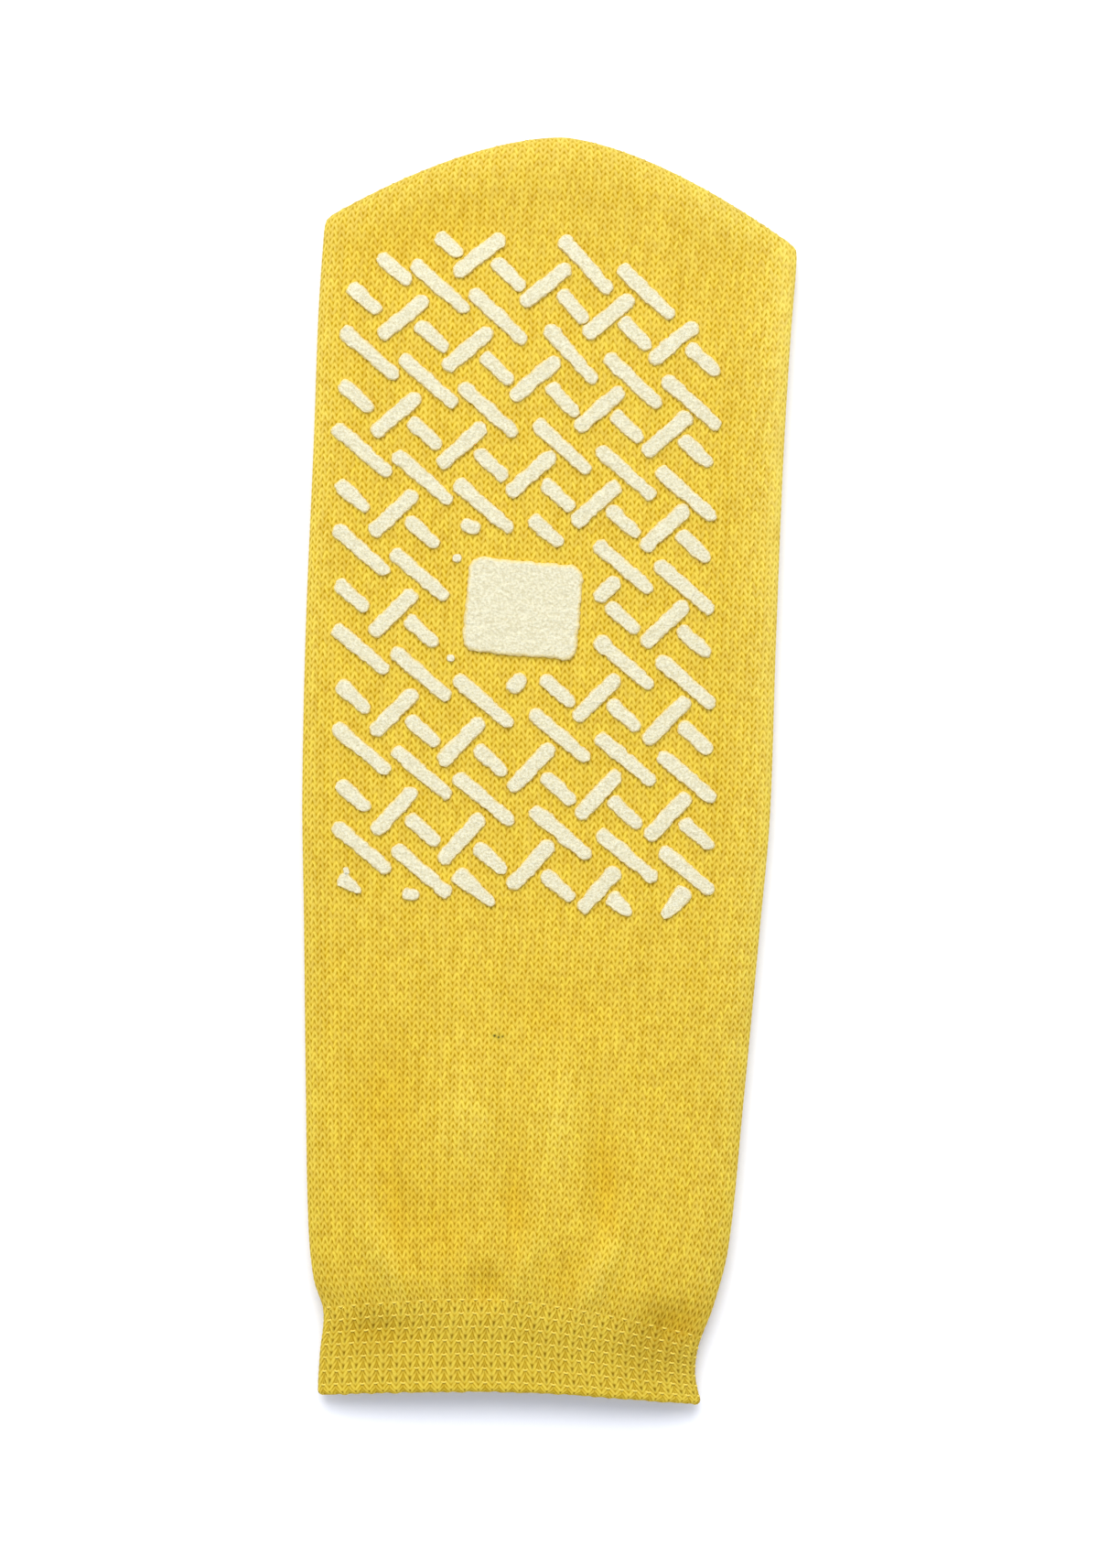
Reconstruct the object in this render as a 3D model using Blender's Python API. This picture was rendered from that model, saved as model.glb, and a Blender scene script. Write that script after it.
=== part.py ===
"""Knitted slipper sock with a raised foam tread, lying flat with its tread side up.

The frame is in metres: X across the sock, +Y to the toe, +Z up from the floor. The sizes below are in
millimetres. One knitted tube, open at the cuff and folded shut at the toe, carries a basket-weave tread of
foam bars: long bars that stand alone, and rows of slash and short bars that the foam joins end to side.
"""

import math
from collections import namedtuple

import bmesh
import bpy

MM = 0.001

# Knitted tube: one row of the table for each course of the knit where its shape changes. A row's middle
# lies at y, both its ends lie lower by bow, and its right end lies lower again by lean. Left and right are
# the side folds, loft is the height of the slack tube and wall the thickness of its fabric.
TubeRow = namedtuple("TubeRow", "name y bow lean left right loft wall")
TUBE_ROWS = (
    TubeRow("rim", -132.5, 1.7, -0.7, -41.7, 40.2, 10.0, 2.2),
    TubeRow("cuff_middle", -123.5, 3.0, 0.5, -41.5, 38.7, 10.9, 2.2),
    TubeRow("cuff_top", -113.4, 5.0, 1.5, -41.1, 39.5, 12.9, 2.2),
    TubeRow("blouse", -107.5, 4.0, 1.2, -43.4, 41.9, 14.0, 1.7),
    TubeRow("ankle", -97.0, 2.5, 0.6, -45.0, 44.6, 14.0, 1.6),
    TubeRow("leg", -70.0, 0.5, 0.0, -46.7, 46.5, 13.2, 1.6),
    TubeRow("heel", -32.0, 0.0, 0.0, -48.7, 48.6, 12.4, 1.6),
    TubeRow("arch", -8.0, 0.0, 0.0, -50.0, 49.8, 12.2, 1.6),
    TubeRow("waist", 28.0, 0.0, 0.0, -50.7, 49.6, 12.4, 1.6),
    TubeRow("ball", 68.0, 0.5, 0.0, -50.6, 49.6, 12.6, 1.6),
    TubeRow("toe_root", 98.0, 4.0, 0.2, -50.7, 50.1, 12.4, 1.6),
    TubeRow("shoulder", 123.0, 13.4, 0.7, -50.3, 50.7, 11.2, 1.6),
    TubeRow("toe_corner", 132.0, 17.9, 1.0, -49.9, 50.5, 10.7, 1.6),
    TubeRow("toe_fold", 135.1, 19.6, 1.1, -48.7, 49.2, 10.4, 1.6),
)
ROW_CURVE = 1.6
TOE_ROOT = 98.0
TOE_FOLD = TUBE_ROWS[-1].y

# Section of the tube: the side folds lie at a share of the loft, the tread side swells over them and the
# underside lies flat on the floor, pressed down by a little more than it swells.
FOLD_HEIGHT = 0.42
CROWN_SHARPNESS = 2.5
CROWN_ROUNDNESS = 0.46
UNDERSIDE_SHARPNESS = 7.0
TOE_SHARPNESS = 2.3
FOLD_ROUNDNESS = 0.5
PRESSED_FLAT = 0.5

# Mesh of the tube: points across one side, longest step along it, and steps round the toe.
STEPS_ACROSS = 22
LONGEST_STEP = 13.0
TOE_STEPS = 7
COURSE_ROUNDS = 30
SHARP_EDGE = math.radians(50)

# Gathers that the elastic cuff pulls into the tread side: a ridge has a negative depth.
Gather = namedtuple("Gather", "x y depth half_width half_length turn")
GATHERS = (
    Gather(-29.6, -70.0, 1.1, 6.5, 12.5, 0.0),
    Gather(-26.6, -92.5, 1.2, 5.0, 11.0, 9.0),
    Gather(-16.5, -96.5, 1.0, 7.0, 10.0, 0.0),
    Gather(-1.3, -92.0, 1.0, 5.0, 11.0, 4.0),
    Gather(17.6, -86.5, 1.2, 5.0, 13.0, 5.0),
    Gather(-11.9, -73.7, -0.9, 5.5, 9.8, 0.0),
    Gather(7.1, -73.9, -1.0, 5.0, 10.7, 0.0),
    Gather(-30.0, -120.5, 1.4, 9.0, 5.0, 0.0),
    Gather(34.5, -116.5, 1.6, 7.0, 5.0, 24.0),
)

# Foam tread: sizes of the three bars that repeat. A bar turns by its angle at the middle of the sock and
# by its fan for each millimetre nearer the toe.
BarKind = namedtuple("BarKind", "name length width height base turn fan")
LONG = BarKind("long", 16.4, 3.4, 1.1, 0.30, -37.9, -0.015)
SLASH = BarKind("slash", 13.6, 3.7, 1.1, 0.30, 48.6, -0.072)
SHORT = BarKind("short", 9.3, 3.4, 0.85, 0.48, -39.6, -0.005)
# The knit is drawn in under the toe, which turns the long and short bars there: middle, reach and turn.
DrawnIn = namedtuple("DrawnIn", "x y half_width half_length turn")
TOE_PULL = DrawnIn(3.0, 100.0, 13.0, 26.0, -8.0)

# Rounded end of a bar: how far in, as a share of half its width, and its width and height there.
BarEnd = namedtuple("BarEnd", "inward width height")
BAR_ENDS = (BarEnd(0.0, 0.42, 0.45), BarEnd(0.28, 0.80, 0.85), BarEnd(0.75, 1.0, 1.0))
# Section of a bar from its left foot over the top to its right foot: shares of its width and height.
BAR_SECTION = ((-1.0, 0.0), (-0.86, 0.62), (0.0, 1.0), (0.86, 0.62), (1.0, 0.0))

# The columns of the print, at the row of bars under the ball of the foot.
TreadColumn = namedtuple("TreadColumn", "number long slash short")
TREAD_COLUMNS = (
    TreadColumn(-1, None, None, (-41.0, 35.4)),
    TreadColumn(0, (-39.0, 24.4), (-32.1, 32.2), (-25.8, 28.4)),
    TreadColumn(1, (-25.7, 19.4), (-17.6, 26.5), (-11.2, 22.6)),
    TreadColumn(2, (-12.2, 14.2), (-2.5, 21.3), (3.5, 17.0)),
    TreadColumn(3, (4.3, 7.5), (11.9, 15.9), (17.8, 12.4)),
    TreadColumn(4, (18.5, 3.1), (26.9, 11.7), (33.2, 8.2)),
    TreadColumn(5, (31.9, -0.3), None, None),
)
TREAD_ROWS = range(-5, 5)
ROW_PITCH = 21.16
ROW_SHIFT = 0.99
# Stretch of the knit under the print: how far it sways sideways towards the toe, and how the rows open
# out from the left column to the right one.
SWAY = 0.108
SWAY_AT_TOE = 0.060
SWAY_OF_COLUMNS = 0.038
COLUMN_SPREAD = 0.05
ROW_SPREAD = 0.169
ROW_SQUEEZE = 0.025

# Outline of the print, anticlockwise from the heel's left corner, and the clear window under the ball of
# the foot, which the stretch has pulled a little out of square.
PRINT_OUTLINE = (
    (-42.5, -28.0),
    (38.6, -30.6),
    (36.0, 89.0),
    (29.5, 97.0),
    (15.5, 108.0),
    (2.5, 114.6),
    (-24.5, 113.8),
    (-38.7, 108.2),
    (-47.5, 98.6),
)
WINDOW_OUTLINE = ((-20.0, 20.7), (11.5, 19.6), (10.0, 47.4), (-21.1, 49.5))
SHORTEST_BAR = 5.1

# Plain foam patch in the window.
PAD_CENTRE = (-4.6, 34.2)
PAD_SIZE = (24.6, 20.4)
PAD_TURN = -3.1
PAD_CORNER = 3.0
PAD_HEIGHT = 1.15
PAD_BASE = 0.30
PAD_STEPS_PER_CORNER = 4
# Edge of the patch from its foot to its top: how far in, in millimetres, and the share of its height.
PAD_EDGE = ((0.0, 0.0), (0.15, 0.6), (0.7, 1.0), (2.8, 1.0))

# Fused tips of the short bars: a low narrow tongue of foam runs into the side of each slash bar.
TIP_WIDTH = 1.7
TIP_HEIGHT = 0.42
TIP_DEPTH = 0.9
FARTHEST_SLASH = 5.1

YARN = ("yellow_knit_yarn", (0.80, 0.54, 0.05, 1.0), 0.95)
FOAM = ("cream_foam_print", (0.82, 0.77, 0.58, 1.0), 0.85)


def smooth_between(rows, column, y):
    """Value of one column of the tube table at y, on a smooth curve through its rows."""
    ys = [row.y for row in rows]
    values = [getattr(row, column) for row in rows]
    y = min(max(y, ys[0]), ys[-1])
    k = max(i for i in range(len(ys) - 1) if ys[i] <= y)

    def slope(i):
        before, after = max(i - 1, 0), min(i + 1, len(ys) - 1)
        return (values[after] - values[before]) / (ys[after] - ys[before])

    span = ys[k + 1] - ys[k]
    f = (y - ys[k]) / span
    start = values[k] * (1 + 2 * f) * (1 - f) ** 2 + slope(k) * span * f * (1 - f) ** 2
    end = values[k + 1] * f * f * (3 - 2 * f) - slope(k + 1) * span * f * f * (1 - f)
    return start + end


def tube(column, y):
    """Size of the tube at the course whose middle lies at y."""
    return smooth_between(TUBE_ROWS, column, y)


def gather_depth(x, y):
    """Depth of the gathers above the cuff at a point of the tread side."""
    depth = 0.0
    for fold in GATHERS:
        turn = math.radians(fold.turn)
        across = (x - fold.x) * math.cos(turn) + (y - fold.y) * math.sin(turn)
        along = (y - fold.y) * math.cos(turn) - (x - fold.x) * math.sin(turn)
        fade = math.exp(-(across / fold.half_width) ** 2 - (along / fold.half_length) ** 2)
        depth += fold.depth * fade
    return depth


def toe_fraction(course, inset):
    """How far a course lies from the root of the toe (0) to its fold (1)."""
    return min(max((course - TOE_ROOT) / (TOE_FOLD - inset - TOE_ROOT), 0.0), 1.0)


def closing(fraction, sharpness, roundness):
    """Share of the full swell that is left towards a fold."""
    return max(1.0 - abs(fraction) ** sharpness, 0.0) ** roundness


def tube_point(across, course, tread_side, inner):
    """Point of the tube: across runs from -1 to 1 between its side folds, on its outer or inner face."""
    wall = tube("wall", course) if inner else 0.0
    left = tube("left", course) + wall
    right = tube("right", course) - wall
    x = left + (across + 1.0) / 2.0 * (right - left)
    y = course - tube("bow", course) * abs(across) ** ROW_CURVE - tube("lean", course) * across
    loft = tube("loft", course)
    fold = FOLD_HEIGHT * loft
    toe = toe_fraction(course, wall)
    if tread_side:
        swell = closing(across, CROWN_SHARPNESS, CROWN_ROUNDNESS)
        swell *= closing(toe, TOE_SHARPNESS, FOLD_ROUNDNESS)
        relief = gather_depth(x, y) * swell
        return x, y, fold + (loft - wall - fold) * swell - relief
    swell = closing(across, UNDERSIDE_SHARPNESS, FOLD_ROUNDNESS)
    swell *= closing(toe, UNDERSIDE_SHARPNESS, FOLD_ROUNDNESS)
    return x, y, max(fold - (fold - wall + PRESSED_FLAT) * swell, wall)


def tread_surface(x, y):
    """Height of the sock's tread side over a point of the floor. The course through that point is found by
    coming closer to it each round."""
    course = y
    for _ in range(COURSE_ROUNDS):
        left = tube("left", course)
        right = tube("right", course)
        across = 2.0 * (x - left) / (right - left) - 1.0
        course = y + tube("bow", course) * abs(across) ** ROW_CURVE + tube("lean", course) * across
    return tube_point(across, course, True, False)[2]


def course_steps(inset):
    """Courses from the rim to the last one before the toe fold, closer together round the toe."""
    courses = []
    for row, following in zip(TUBE_ROWS, TUBE_ROWS[1:]):
        if row.y >= TOE_ROOT:
            break
        steps = math.ceil((following.y - row.y) / LONGEST_STEP)
        courses += [row.y + (following.y - row.y) * k / steps for k in range(steps)]
    reach = TOE_FOLD - inset - TOE_ROOT
    courses += [TOE_ROOT + reach * math.sin(math.pi / 2 * k / TOE_STEPS) for k in range(TOE_STEPS)]
    return courses


def tube_face(mesh, inner):
    """One face of the tube, outer or inner: a ring of points for each course, and the line of the toe
    fold that closes it. Returns the ring at the rim."""
    inset = TUBE_ROWS[-1].wall if inner else 0.0
    steps = [math.sin(math.pi / 2 * (2.0 * k / STEPS_ACROSS - 1.0)) for k in range(STEPS_ACROSS + 1)]

    def vert(across, course, tread_side):
        return mesh.verts.new([MM * value for value in tube_point(across, course, tread_side, inner)])

    rings = []
    for course in course_steps(inset):
        over = [vert(across, course, True) for across in steps]
        under = [vert(across, course, False) for across in reversed(steps[1:-1])]
        rings.append(over + under)
    fold = [vert(across, TOE_FOLD - inset, True) for across in steps]
    rings.append(fold + fold[-2:0:-1])
    for ring, following in zip(rings, rings[1:]):
        for k in range(len(ring)):
            mesh.faces.new((ring[k - 1], ring[k], following[k], following[k - 1]))
    return rings[0]


def knitted_tube():
    """The sock: its outer and inner faces, joined round the rim of the cuff."""
    mesh = bmesh.new()
    outer_rim = tube_face(mesh, False)
    inner_rim = tube_face(mesh, True)
    for k in range(len(outer_rim)):
        mesh.faces.new((outer_rim[k - 1], outer_rim[k], inner_rim[k], inner_rim[k - 1]))
    return mesh


def print_place(point, column, row):
    """Where a bar of the flat print lies on the stretched knit."""
    x = point[0] + ROW_SHIFT * row + SWAY * row ** 2 - SWAY_AT_TOE * row ** 3
    x += COLUMN_SPREAD * column * row - SWAY_OF_COLUMNS * column * row ** 2
    y = point[1] - ROW_PITCH * row + ROW_SPREAD * column * row + ROW_SQUEEZE * row ** 3
    return x, y


def direction(start, finish):
    """Unit vector from one point of the floor to another."""
    length = math.dist(start, finish)
    return (finish[0] - start[0]) / length, (finish[1] - start[1]) / length


def half_planes(corners):
    """The sides of an anticlockwise outline, each as its inward normal and its offset from the origin."""
    sides = []
    for corner, following in zip(corners, corners[1:] + corners[:1]):
        ux, uy = direction(corner, following)
        sides.append(((-uy, ux), ux * corner[1] - uy * corner[0]))
    return sides


def inside_span(start, end, sides):
    """The stretch of a line, as fractions of its length, that lies inside an outline, or None."""
    low, high = 0.0, 1.0
    for (nx, ny), offset in sides:
        first = nx * start[0] + ny * start[1] - offset
        last = nx * end[0] + ny * end[1] - offset
        if first < 0 and last < 0:
            return None
        if first < 0:
            low = max(low, first / (first - last))
        if last < 0:
            high = min(high, first / (first - last))
    return (low, high) if low < high else None


def clipped(start, end):
    """The pieces of a bar that are left inside the print and outside the window. A bar whose middle lies
    outside the print isn't printed."""

    def at(fraction):
        return tuple(a + (b - a) * fraction for a, b in zip(start, end))

    span = inside_span(start, end, half_planes(PRINT_OUTLINE))
    if span is None or not span[0] < 0.5 < span[1]:
        return []
    spans = [span]
    gap = inside_span(start, end, half_planes(WINDOW_OUTLINE))
    if gap:
        spans = [(span[0], min(span[1], gap[0])), (max(span[0], gap[1]), span[1])]
    length = math.dist(start, end)
    return [(at(low), at(high)) for low, high in spans if (high - low) * length > SHORTEST_BAR]


def bar_turn(kind, x, y):
    """Turn of a bar whose middle lies at x and y."""
    turn = kind.turn + kind.fan * y
    if kind is not SLASH:
        off = ((x - TOE_PULL.x) / TOE_PULL.half_width) ** 2 + ((y - TOE_PULL.y) / TOE_PULL.half_length) ** 2
        turn += TOE_PULL.turn * math.exp(-off)
    return math.radians(turn)


def bar_ends(kind, centre):
    """Start and end of a bar, left end first."""
    turn = bar_turn(kind, *centre)
    half = (math.cos(turn) * kind.length / 2, math.sin(turn) * kind.length / 2)
    return (centre[0] - half[0], centre[1] - half[1]), (centre[0] + half[0], centre[1] + half[1])


def bars_of(kind):
    """The two ends of every bar of one kind in the print."""
    bars = []
    for row in TREAD_ROWS:
        for column in TREAD_COLUMNS:
            point = getattr(column, kind.name)
            if point:
                bars += clipped(*bar_ends(kind, print_place(point, column.number, row)))
    return bars


def bar_mesh(kind, start, finish, tips=()):
    """A foam bar from start to finish that follows the knit under it: flat below, with a puffed top and
    rounded ends. Each tip is the point that a fused tongue of foam reaches to."""
    length = math.dist(start, finish)
    ux, uy = direction(start, finish)
    half = kind.width / 2
    stations = [(end.inward * half, end.width * half, end.height * kind.height) for end in BAR_ENDS]
    stations += [(length - along, width, height) for along, width, height in reversed(stations)]
    for tip in tips:
        reach = (tip[0] - start[0]) * ux + (tip[1] - start[1]) * uy
        tongue = (reach, TIP_WIDTH / 2, TIP_HEIGHT)
        stations = [tongue] + stations if reach < 0 else stations + [tongue]
    mesh = bmesh.new()
    rings = []
    for along, width, height in stations:
        ring = []
        for side, rise in BAR_SECTION:
            x = start[0] + ux * along - uy * side * width
            y = start[1] + uy * along + ux * side * width
            z = tread_surface(x, y) + kind.base + rise * height
            ring.append(mesh.verts.new((MM * x, MM * y, MM * z)))
        rings.append(ring)
    for ring, following in zip(rings, rings[1:]):
        for k in range(len(ring)):
            mesh.faces.new((ring[k - 1], ring[k], following[k], following[k - 1]))
    mesh.faces.new(rings[0])
    mesh.faces.new(rings[-1])
    return mesh


def pad_mesh():
    """The plain patch: a rounded rectangle of foam that follows the knit, with soft edges."""
    turn = math.radians(PAD_TURN)
    mesh = bmesh.new()

    def vert(along, up, rise):
        x = PAD_CENTRE[0] + along * math.cos(turn) - up * math.sin(turn)
        y = PAD_CENTRE[1] + along * math.sin(turn) + up * math.cos(turn)
        return mesh.verts.new((MM * x, MM * y, MM * (tread_surface(x, y) + PAD_BASE + rise)))

    def outline(inset, rise):
        ring = []
        for corner, (side, end) in enumerate(((1, 1), (-1, 1), (-1, -1), (1, -1))):
            for k in range(PAD_STEPS_PER_CORNER + 1):
                angle = math.pi / 2 * (corner + k / PAD_STEPS_PER_CORNER)
                along = side * (PAD_SIZE[0] / 2 - PAD_CORNER) + (PAD_CORNER - inset) * math.cos(angle)
                up = end * (PAD_SIZE[1] / 2 - PAD_CORNER) + (PAD_CORNER - inset) * math.sin(angle)
                ring.append(vert(along, up, rise))
        return ring

    rings = [outline(inset, share * PAD_HEIGHT) for inset, share in PAD_EDGE]
    for ring, following in zip(rings, rings[1:]):
        for k in range(len(ring)):
            mesh.faces.new((ring[k - 1], ring[k], following[k], following[k - 1]))
    for ring, rise in ((rings[0], 0.0), (rings[-1], PAD_HEIGHT)):
        middle = vert(0.0, 0.0, rise)
        for k in range(len(ring)):
            mesh.faces.new((ring[k - 1], ring[k], middle))
    return mesh


def material(name, colour, roughness):
    """Principled material of one colour."""
    made = bpy.data.materials.get(name) or bpy.data.materials.new(name)
    made.use_nodes = True
    shader = made.node_tree.nodes["Principled BSDF"]
    shader.inputs["Base Color"].default_value = colour
    shader.inputs["Roughness"].default_value = roughness
    shader.inputs["Metallic"].default_value = 0.0
    made.diffuse_color = colour
    return made


def add_object(name, mesh, finish, cutter=False):
    """Object of a finished mesh, with its faces pointing out, at the sock's own origin."""
    bmesh.ops.recalc_face_normals(mesh, faces=mesh.faces)
    data = bpy.data.meshes.new(name)
    mesh.to_mesh(data)
    mesh.free()
    data.shade_smooth()
    data.set_sharp_from_angle(angle=SHARP_EDGE)
    data.materials.append(material(*finish))
    made = bpy.data.objects.new(name, data)
    bpy.context.collection.objects.link(made)
    if cutter:
        made.hide_render = True
        made.display_type = "WIRE"
    return made


def nearest_slash(end, away, slashes):
    """The point on the middle line of the slash bar that a short bar's end points at, with the number of
    that slash bar, or None where no slash bar lies ahead."""
    best = None
    for number, (start, finish) in enumerate(slashes):
        sx, sy = direction(start, finish)
        facing = away[0] * sy - away[1] * sx
        ahead = ((start[0] - end[0]) * sy - (start[1] - end[1]) * sx) / facing
        point = (end[0] + away[0] * ahead, end[1] + away[1] * ahead)
        along = (point[0] - start[0]) * sx + (point[1] - start[1]) * sy
        on_bar = SLASH.width / 2 < along < math.dist(start, finish) - SLASH.width / 2
        if on_bar and 0 < ahead < FARTHEST_SLASH and (best is None or ahead < best[0]):
            best = (ahead, point, number)
    return best


def weave_rows(slashes, shorts):
    """Groups of slash and short bars that their tips join, and the tips of each short bar."""
    group = list(range(len(slashes)))
    joined = []
    for start, end in shorts:
        ux, uy = direction(start, end)
        tips, touched = [], []
        for point, (ax, ay) in ((start, (-ux, -uy)), (end, (ux, uy))):
            found = nearest_slash(point, (ax, ay), slashes)
            if found:
                tips.append((found[1][0] - ax * TIP_DEPTH, found[1][1] - ay * TIP_DEPTH))
                touched.append(found[2])
        if len(touched) == 2:
            kept, dropped = group[touched[0]], group[touched[1]]
            group = [kept if number == dropped else number for number in group]
        joined.append((start, end, tips, touched))
    rows = []
    for number in sorted(set(group)):
        members = [k for k in range(len(slashes)) if group[k] == number]
        rows.append((members, [s for s in joined if s[3] and s[3][0] in members]))
    loose = [s for s in joined if not s[3]]
    return rows, loose


def tread():
    """All foam bars: the long ones alone, the slash and short ones joined into weave rows."""
    for number, ends in enumerate(bars_of(LONG), 1):
        add_object(f"tread_long_{number:02d}", bar_mesh(LONG, *ends), FOAM)
    slashes, shorts = bars_of(SLASH), bars_of(SHORT)
    rows, loose = weave_rows(slashes, shorts)
    for number, (members, tongues) in enumerate(rows, 1):
        name = f"tread_weave_{number:02d}"
        meshes = [bar_mesh(SLASH, *slashes[k]) for k in members]
        meshes += [bar_mesh(SHORT, start, end, tips) for start, end, tips, _ in tongues]
        row = add_object(name, meshes[0], FOAM)
        for k, mesh in enumerate(meshes[1:], 1):
            bar = add_object(f"{name}_bar_{k:02d}", mesh, FOAM, cutter=True)
            union = row.modifiers.new(f"fuse_{k:02d}", "BOOLEAN")
            union.operation = "UNION"
            union.solver = "EXACT"
            union.object = bar
    for number, (start, end, _, _) in enumerate(loose, 1):
        add_object(f"tread_short_{number:02d}", bar_mesh(SHORT, start, end), FOAM)
    add_object("tread_pad", pad_mesh(), FOAM)


def main():
    for old in list(bpy.data.objects):
        bpy.data.objects.remove(old, do_unlink=True)
    add_object("sock_tube", knitted_tube(), YARN)
    tread()


main()
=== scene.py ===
"""Knitted slipper sock with a raised foam tread, lying flat with its tread side up.

The sock is one knitted tube. Its tread side has every stitch as relief: columns of points run along the wales
and rows of points zigzag with the legs of the stitches, so that each course has a crest and a gap. The foam
bars of the tread, the plain patch among them and the elastic floats of the cuff lie on that knit.
Sizes are in millimetres until a point becomes a vertex.
"""

import math
from collections import namedtuple

import bpy
import numpy as np
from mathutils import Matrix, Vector, noise


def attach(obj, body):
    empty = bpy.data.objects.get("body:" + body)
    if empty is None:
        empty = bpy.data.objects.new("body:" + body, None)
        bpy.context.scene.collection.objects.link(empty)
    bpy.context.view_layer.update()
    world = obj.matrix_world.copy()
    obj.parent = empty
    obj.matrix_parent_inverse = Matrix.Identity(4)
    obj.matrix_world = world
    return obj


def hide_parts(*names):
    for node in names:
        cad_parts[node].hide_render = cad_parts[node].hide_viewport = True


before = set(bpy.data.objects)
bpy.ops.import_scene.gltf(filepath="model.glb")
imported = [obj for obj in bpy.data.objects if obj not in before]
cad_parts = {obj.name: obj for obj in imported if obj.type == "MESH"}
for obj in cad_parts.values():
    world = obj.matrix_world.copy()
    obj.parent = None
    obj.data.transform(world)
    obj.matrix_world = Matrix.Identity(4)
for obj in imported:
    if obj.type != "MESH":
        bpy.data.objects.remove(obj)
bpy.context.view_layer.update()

MM = 0.001

# Photograph: its frame in pixels, the size of a pixel on the sock, and how the sock lies in it.
PHOTO_HEIGHT = 1713
PIXEL = 0.195
SOCK_TURN = math.radians(2.3)
SOCK_ORIGIN_PIXEL = (741, 835)
AIM_PIXEL = (753, 850)
# Height of the sock's middle, which the camera's distance is measured from.
SOCK_MIDDLE = 7.0

# Knitted tube: a row for each course where its shape changes. A row's middle lies at y, both its ends lie
# lower by bow, and its right end lies lower again by lean. Left and right are the side folds, loft is the
# height of the slack tube and wall the thickness of its fabric.
TubeRow = namedtuple("TubeRow", "name y bow lean left right loft wall")
TUBE_ROWS = (
    TubeRow("rim", -132.5, 1.7, -0.7, -41.7, 40.2, 10.0, 2.2),
    TubeRow("cuff_middle", -123.5, 3.0, 0.5, -41.5, 38.7, 10.9, 2.2),
    TubeRow("cuff_top", -113.4, 5.0, 1.5, -41.1, 39.5, 12.9, 2.2),
    TubeRow("blouse", -107.5, 4.0, 1.2, -43.4, 41.9, 14.0, 1.7),
    TubeRow("ankle", -97.0, 2.5, 0.6, -45.0, 44.6, 14.0, 1.6),
    TubeRow("leg", -70.0, 0.5, 0.0, -46.7, 46.5, 13.2, 1.6),
    TubeRow("heel", -32.0, 0.0, 0.0, -48.7, 48.6, 12.4, 1.6),
    TubeRow("arch", -8.0, 0.0, 0.0, -50.0, 49.8, 12.2, 1.6),
    TubeRow("waist", 28.0, 0.0, 0.0, -50.7, 49.6, 12.4, 1.6),
    TubeRow("ball", 68.0, 0.5, 0.0, -50.6, 49.6, 12.6, 1.6),
    TubeRow("toe_root", 98.0, 4.0, 0.2, -50.7, 50.1, 12.4, 1.6),
    TubeRow("shoulder", 123.0, 13.4, 0.7, -50.3, 50.7, 11.2, 1.6),
    TubeRow("toe_corner", 132.0, 17.9, 1.0, -49.9, 50.5, 10.7, 1.6),
    TubeRow("toe_fold", 135.1, 19.6, 1.1, -48.7, 49.2, 10.4, 1.6),
)
COURSE_AT = {row.name: row.y for row in TUBE_ROWS}
ROW_CURVE = 1.6

# Section of the tube: the side folds lie at a share of the loft, the tread side swells over them and the
# underside lies flat on the floor, pressed down by a little more than it swells.
FOLD_HEIGHT = 0.42
CROWN_SHARPNESS = 2.5
CROWN_ROUNDNESS = 0.46
UNDERSIDE_SHARPNESS = 7.0
TOE_SHARPNESS = 2.3
FOLD_ROUNDNESS = 0.5
PRESSED_FLAT = 0.5

# Creases: those that the elastic cuff gathers into the leg and its own top, and the dent and the ridge that
# the pressed toe keeps. A ridge has a negative depth.
Crease = namedtuple("Crease", "x y depth half_width half_length turn")
CREASES = (
    Crease(-29.6, -70.0, 1.1, 6.5, 12.5, 0.0),
    Crease(-26.6, -92.5, 1.3, 2.8, 11.0, 9.0),
    Crease(-16.5, -96.5, 1.0, 7.0, 10.0, 0.0),
    Crease(-1.3, -92.0, 1.3, 2.6, 11.0, 4.0),
    Crease(17.6, -86.5, 1.5, 3.2, 13.0, 5.0),
    Crease(10.5, -107.0, 0.8, 4.0, 6.0, 0.0),
    Crease(-6.6, -109.8, 1.2, 4.2, 4.0, 0.0),
    Crease(6.7, -49.5, 0.6, 12.0, 6.0, 0.0),
    Crease(-11.9, -73.7, -0.9, 5.5, 9.8, 0.0),
    Crease(7.1, -73.9, -1.0, 4.3, 10.7, 0.0),
    Crease(-28.2, -105.5, -1.0, 2.6, 9.0, 37.0),
    Crease(18.1, -104.7, -1.2, 2.8, 9.8, -24.0),
    Crease(2.0, -103.4, -0.7, 2.2, 8.0, -18.0),
    Crease(-30.0, -120.5, 1.4, 9.0, 3.6, 0.0),
    Crease(34.5, -116.5, 1.8, 7.0, 4.5, 24.0),
    Crease(-27.0, 113.5, 0.8, 15.0, 6.5, 20.0),
    Crease(36.5, 120.5, -0.8, 13.0, 5.0, -30.0),
)

# Knit: wales across one side, columns of points in a wale, rows of points in a course, and the height of a
# course on the body and in the cuff. The legs of a stitch rise by a share of a course from its middle.
WALES = 58
COLUMNS_PER_WALE = 4
COLUMNS = WALES * COLUMNS_PER_WALE
ROWS_PER_COURSE = 2
COURSE = 1.5
CUFF_COURSE = 1.465
LEG_RISE = 0.86
# Points that are closer than this share of a course to the rim or the toe fold are left out.
EDGE_ROOM = 0.3
# Courses are counted as far as this from the ball of the foot, which is past the toe fold.
TOE_COURSES = 60
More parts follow.
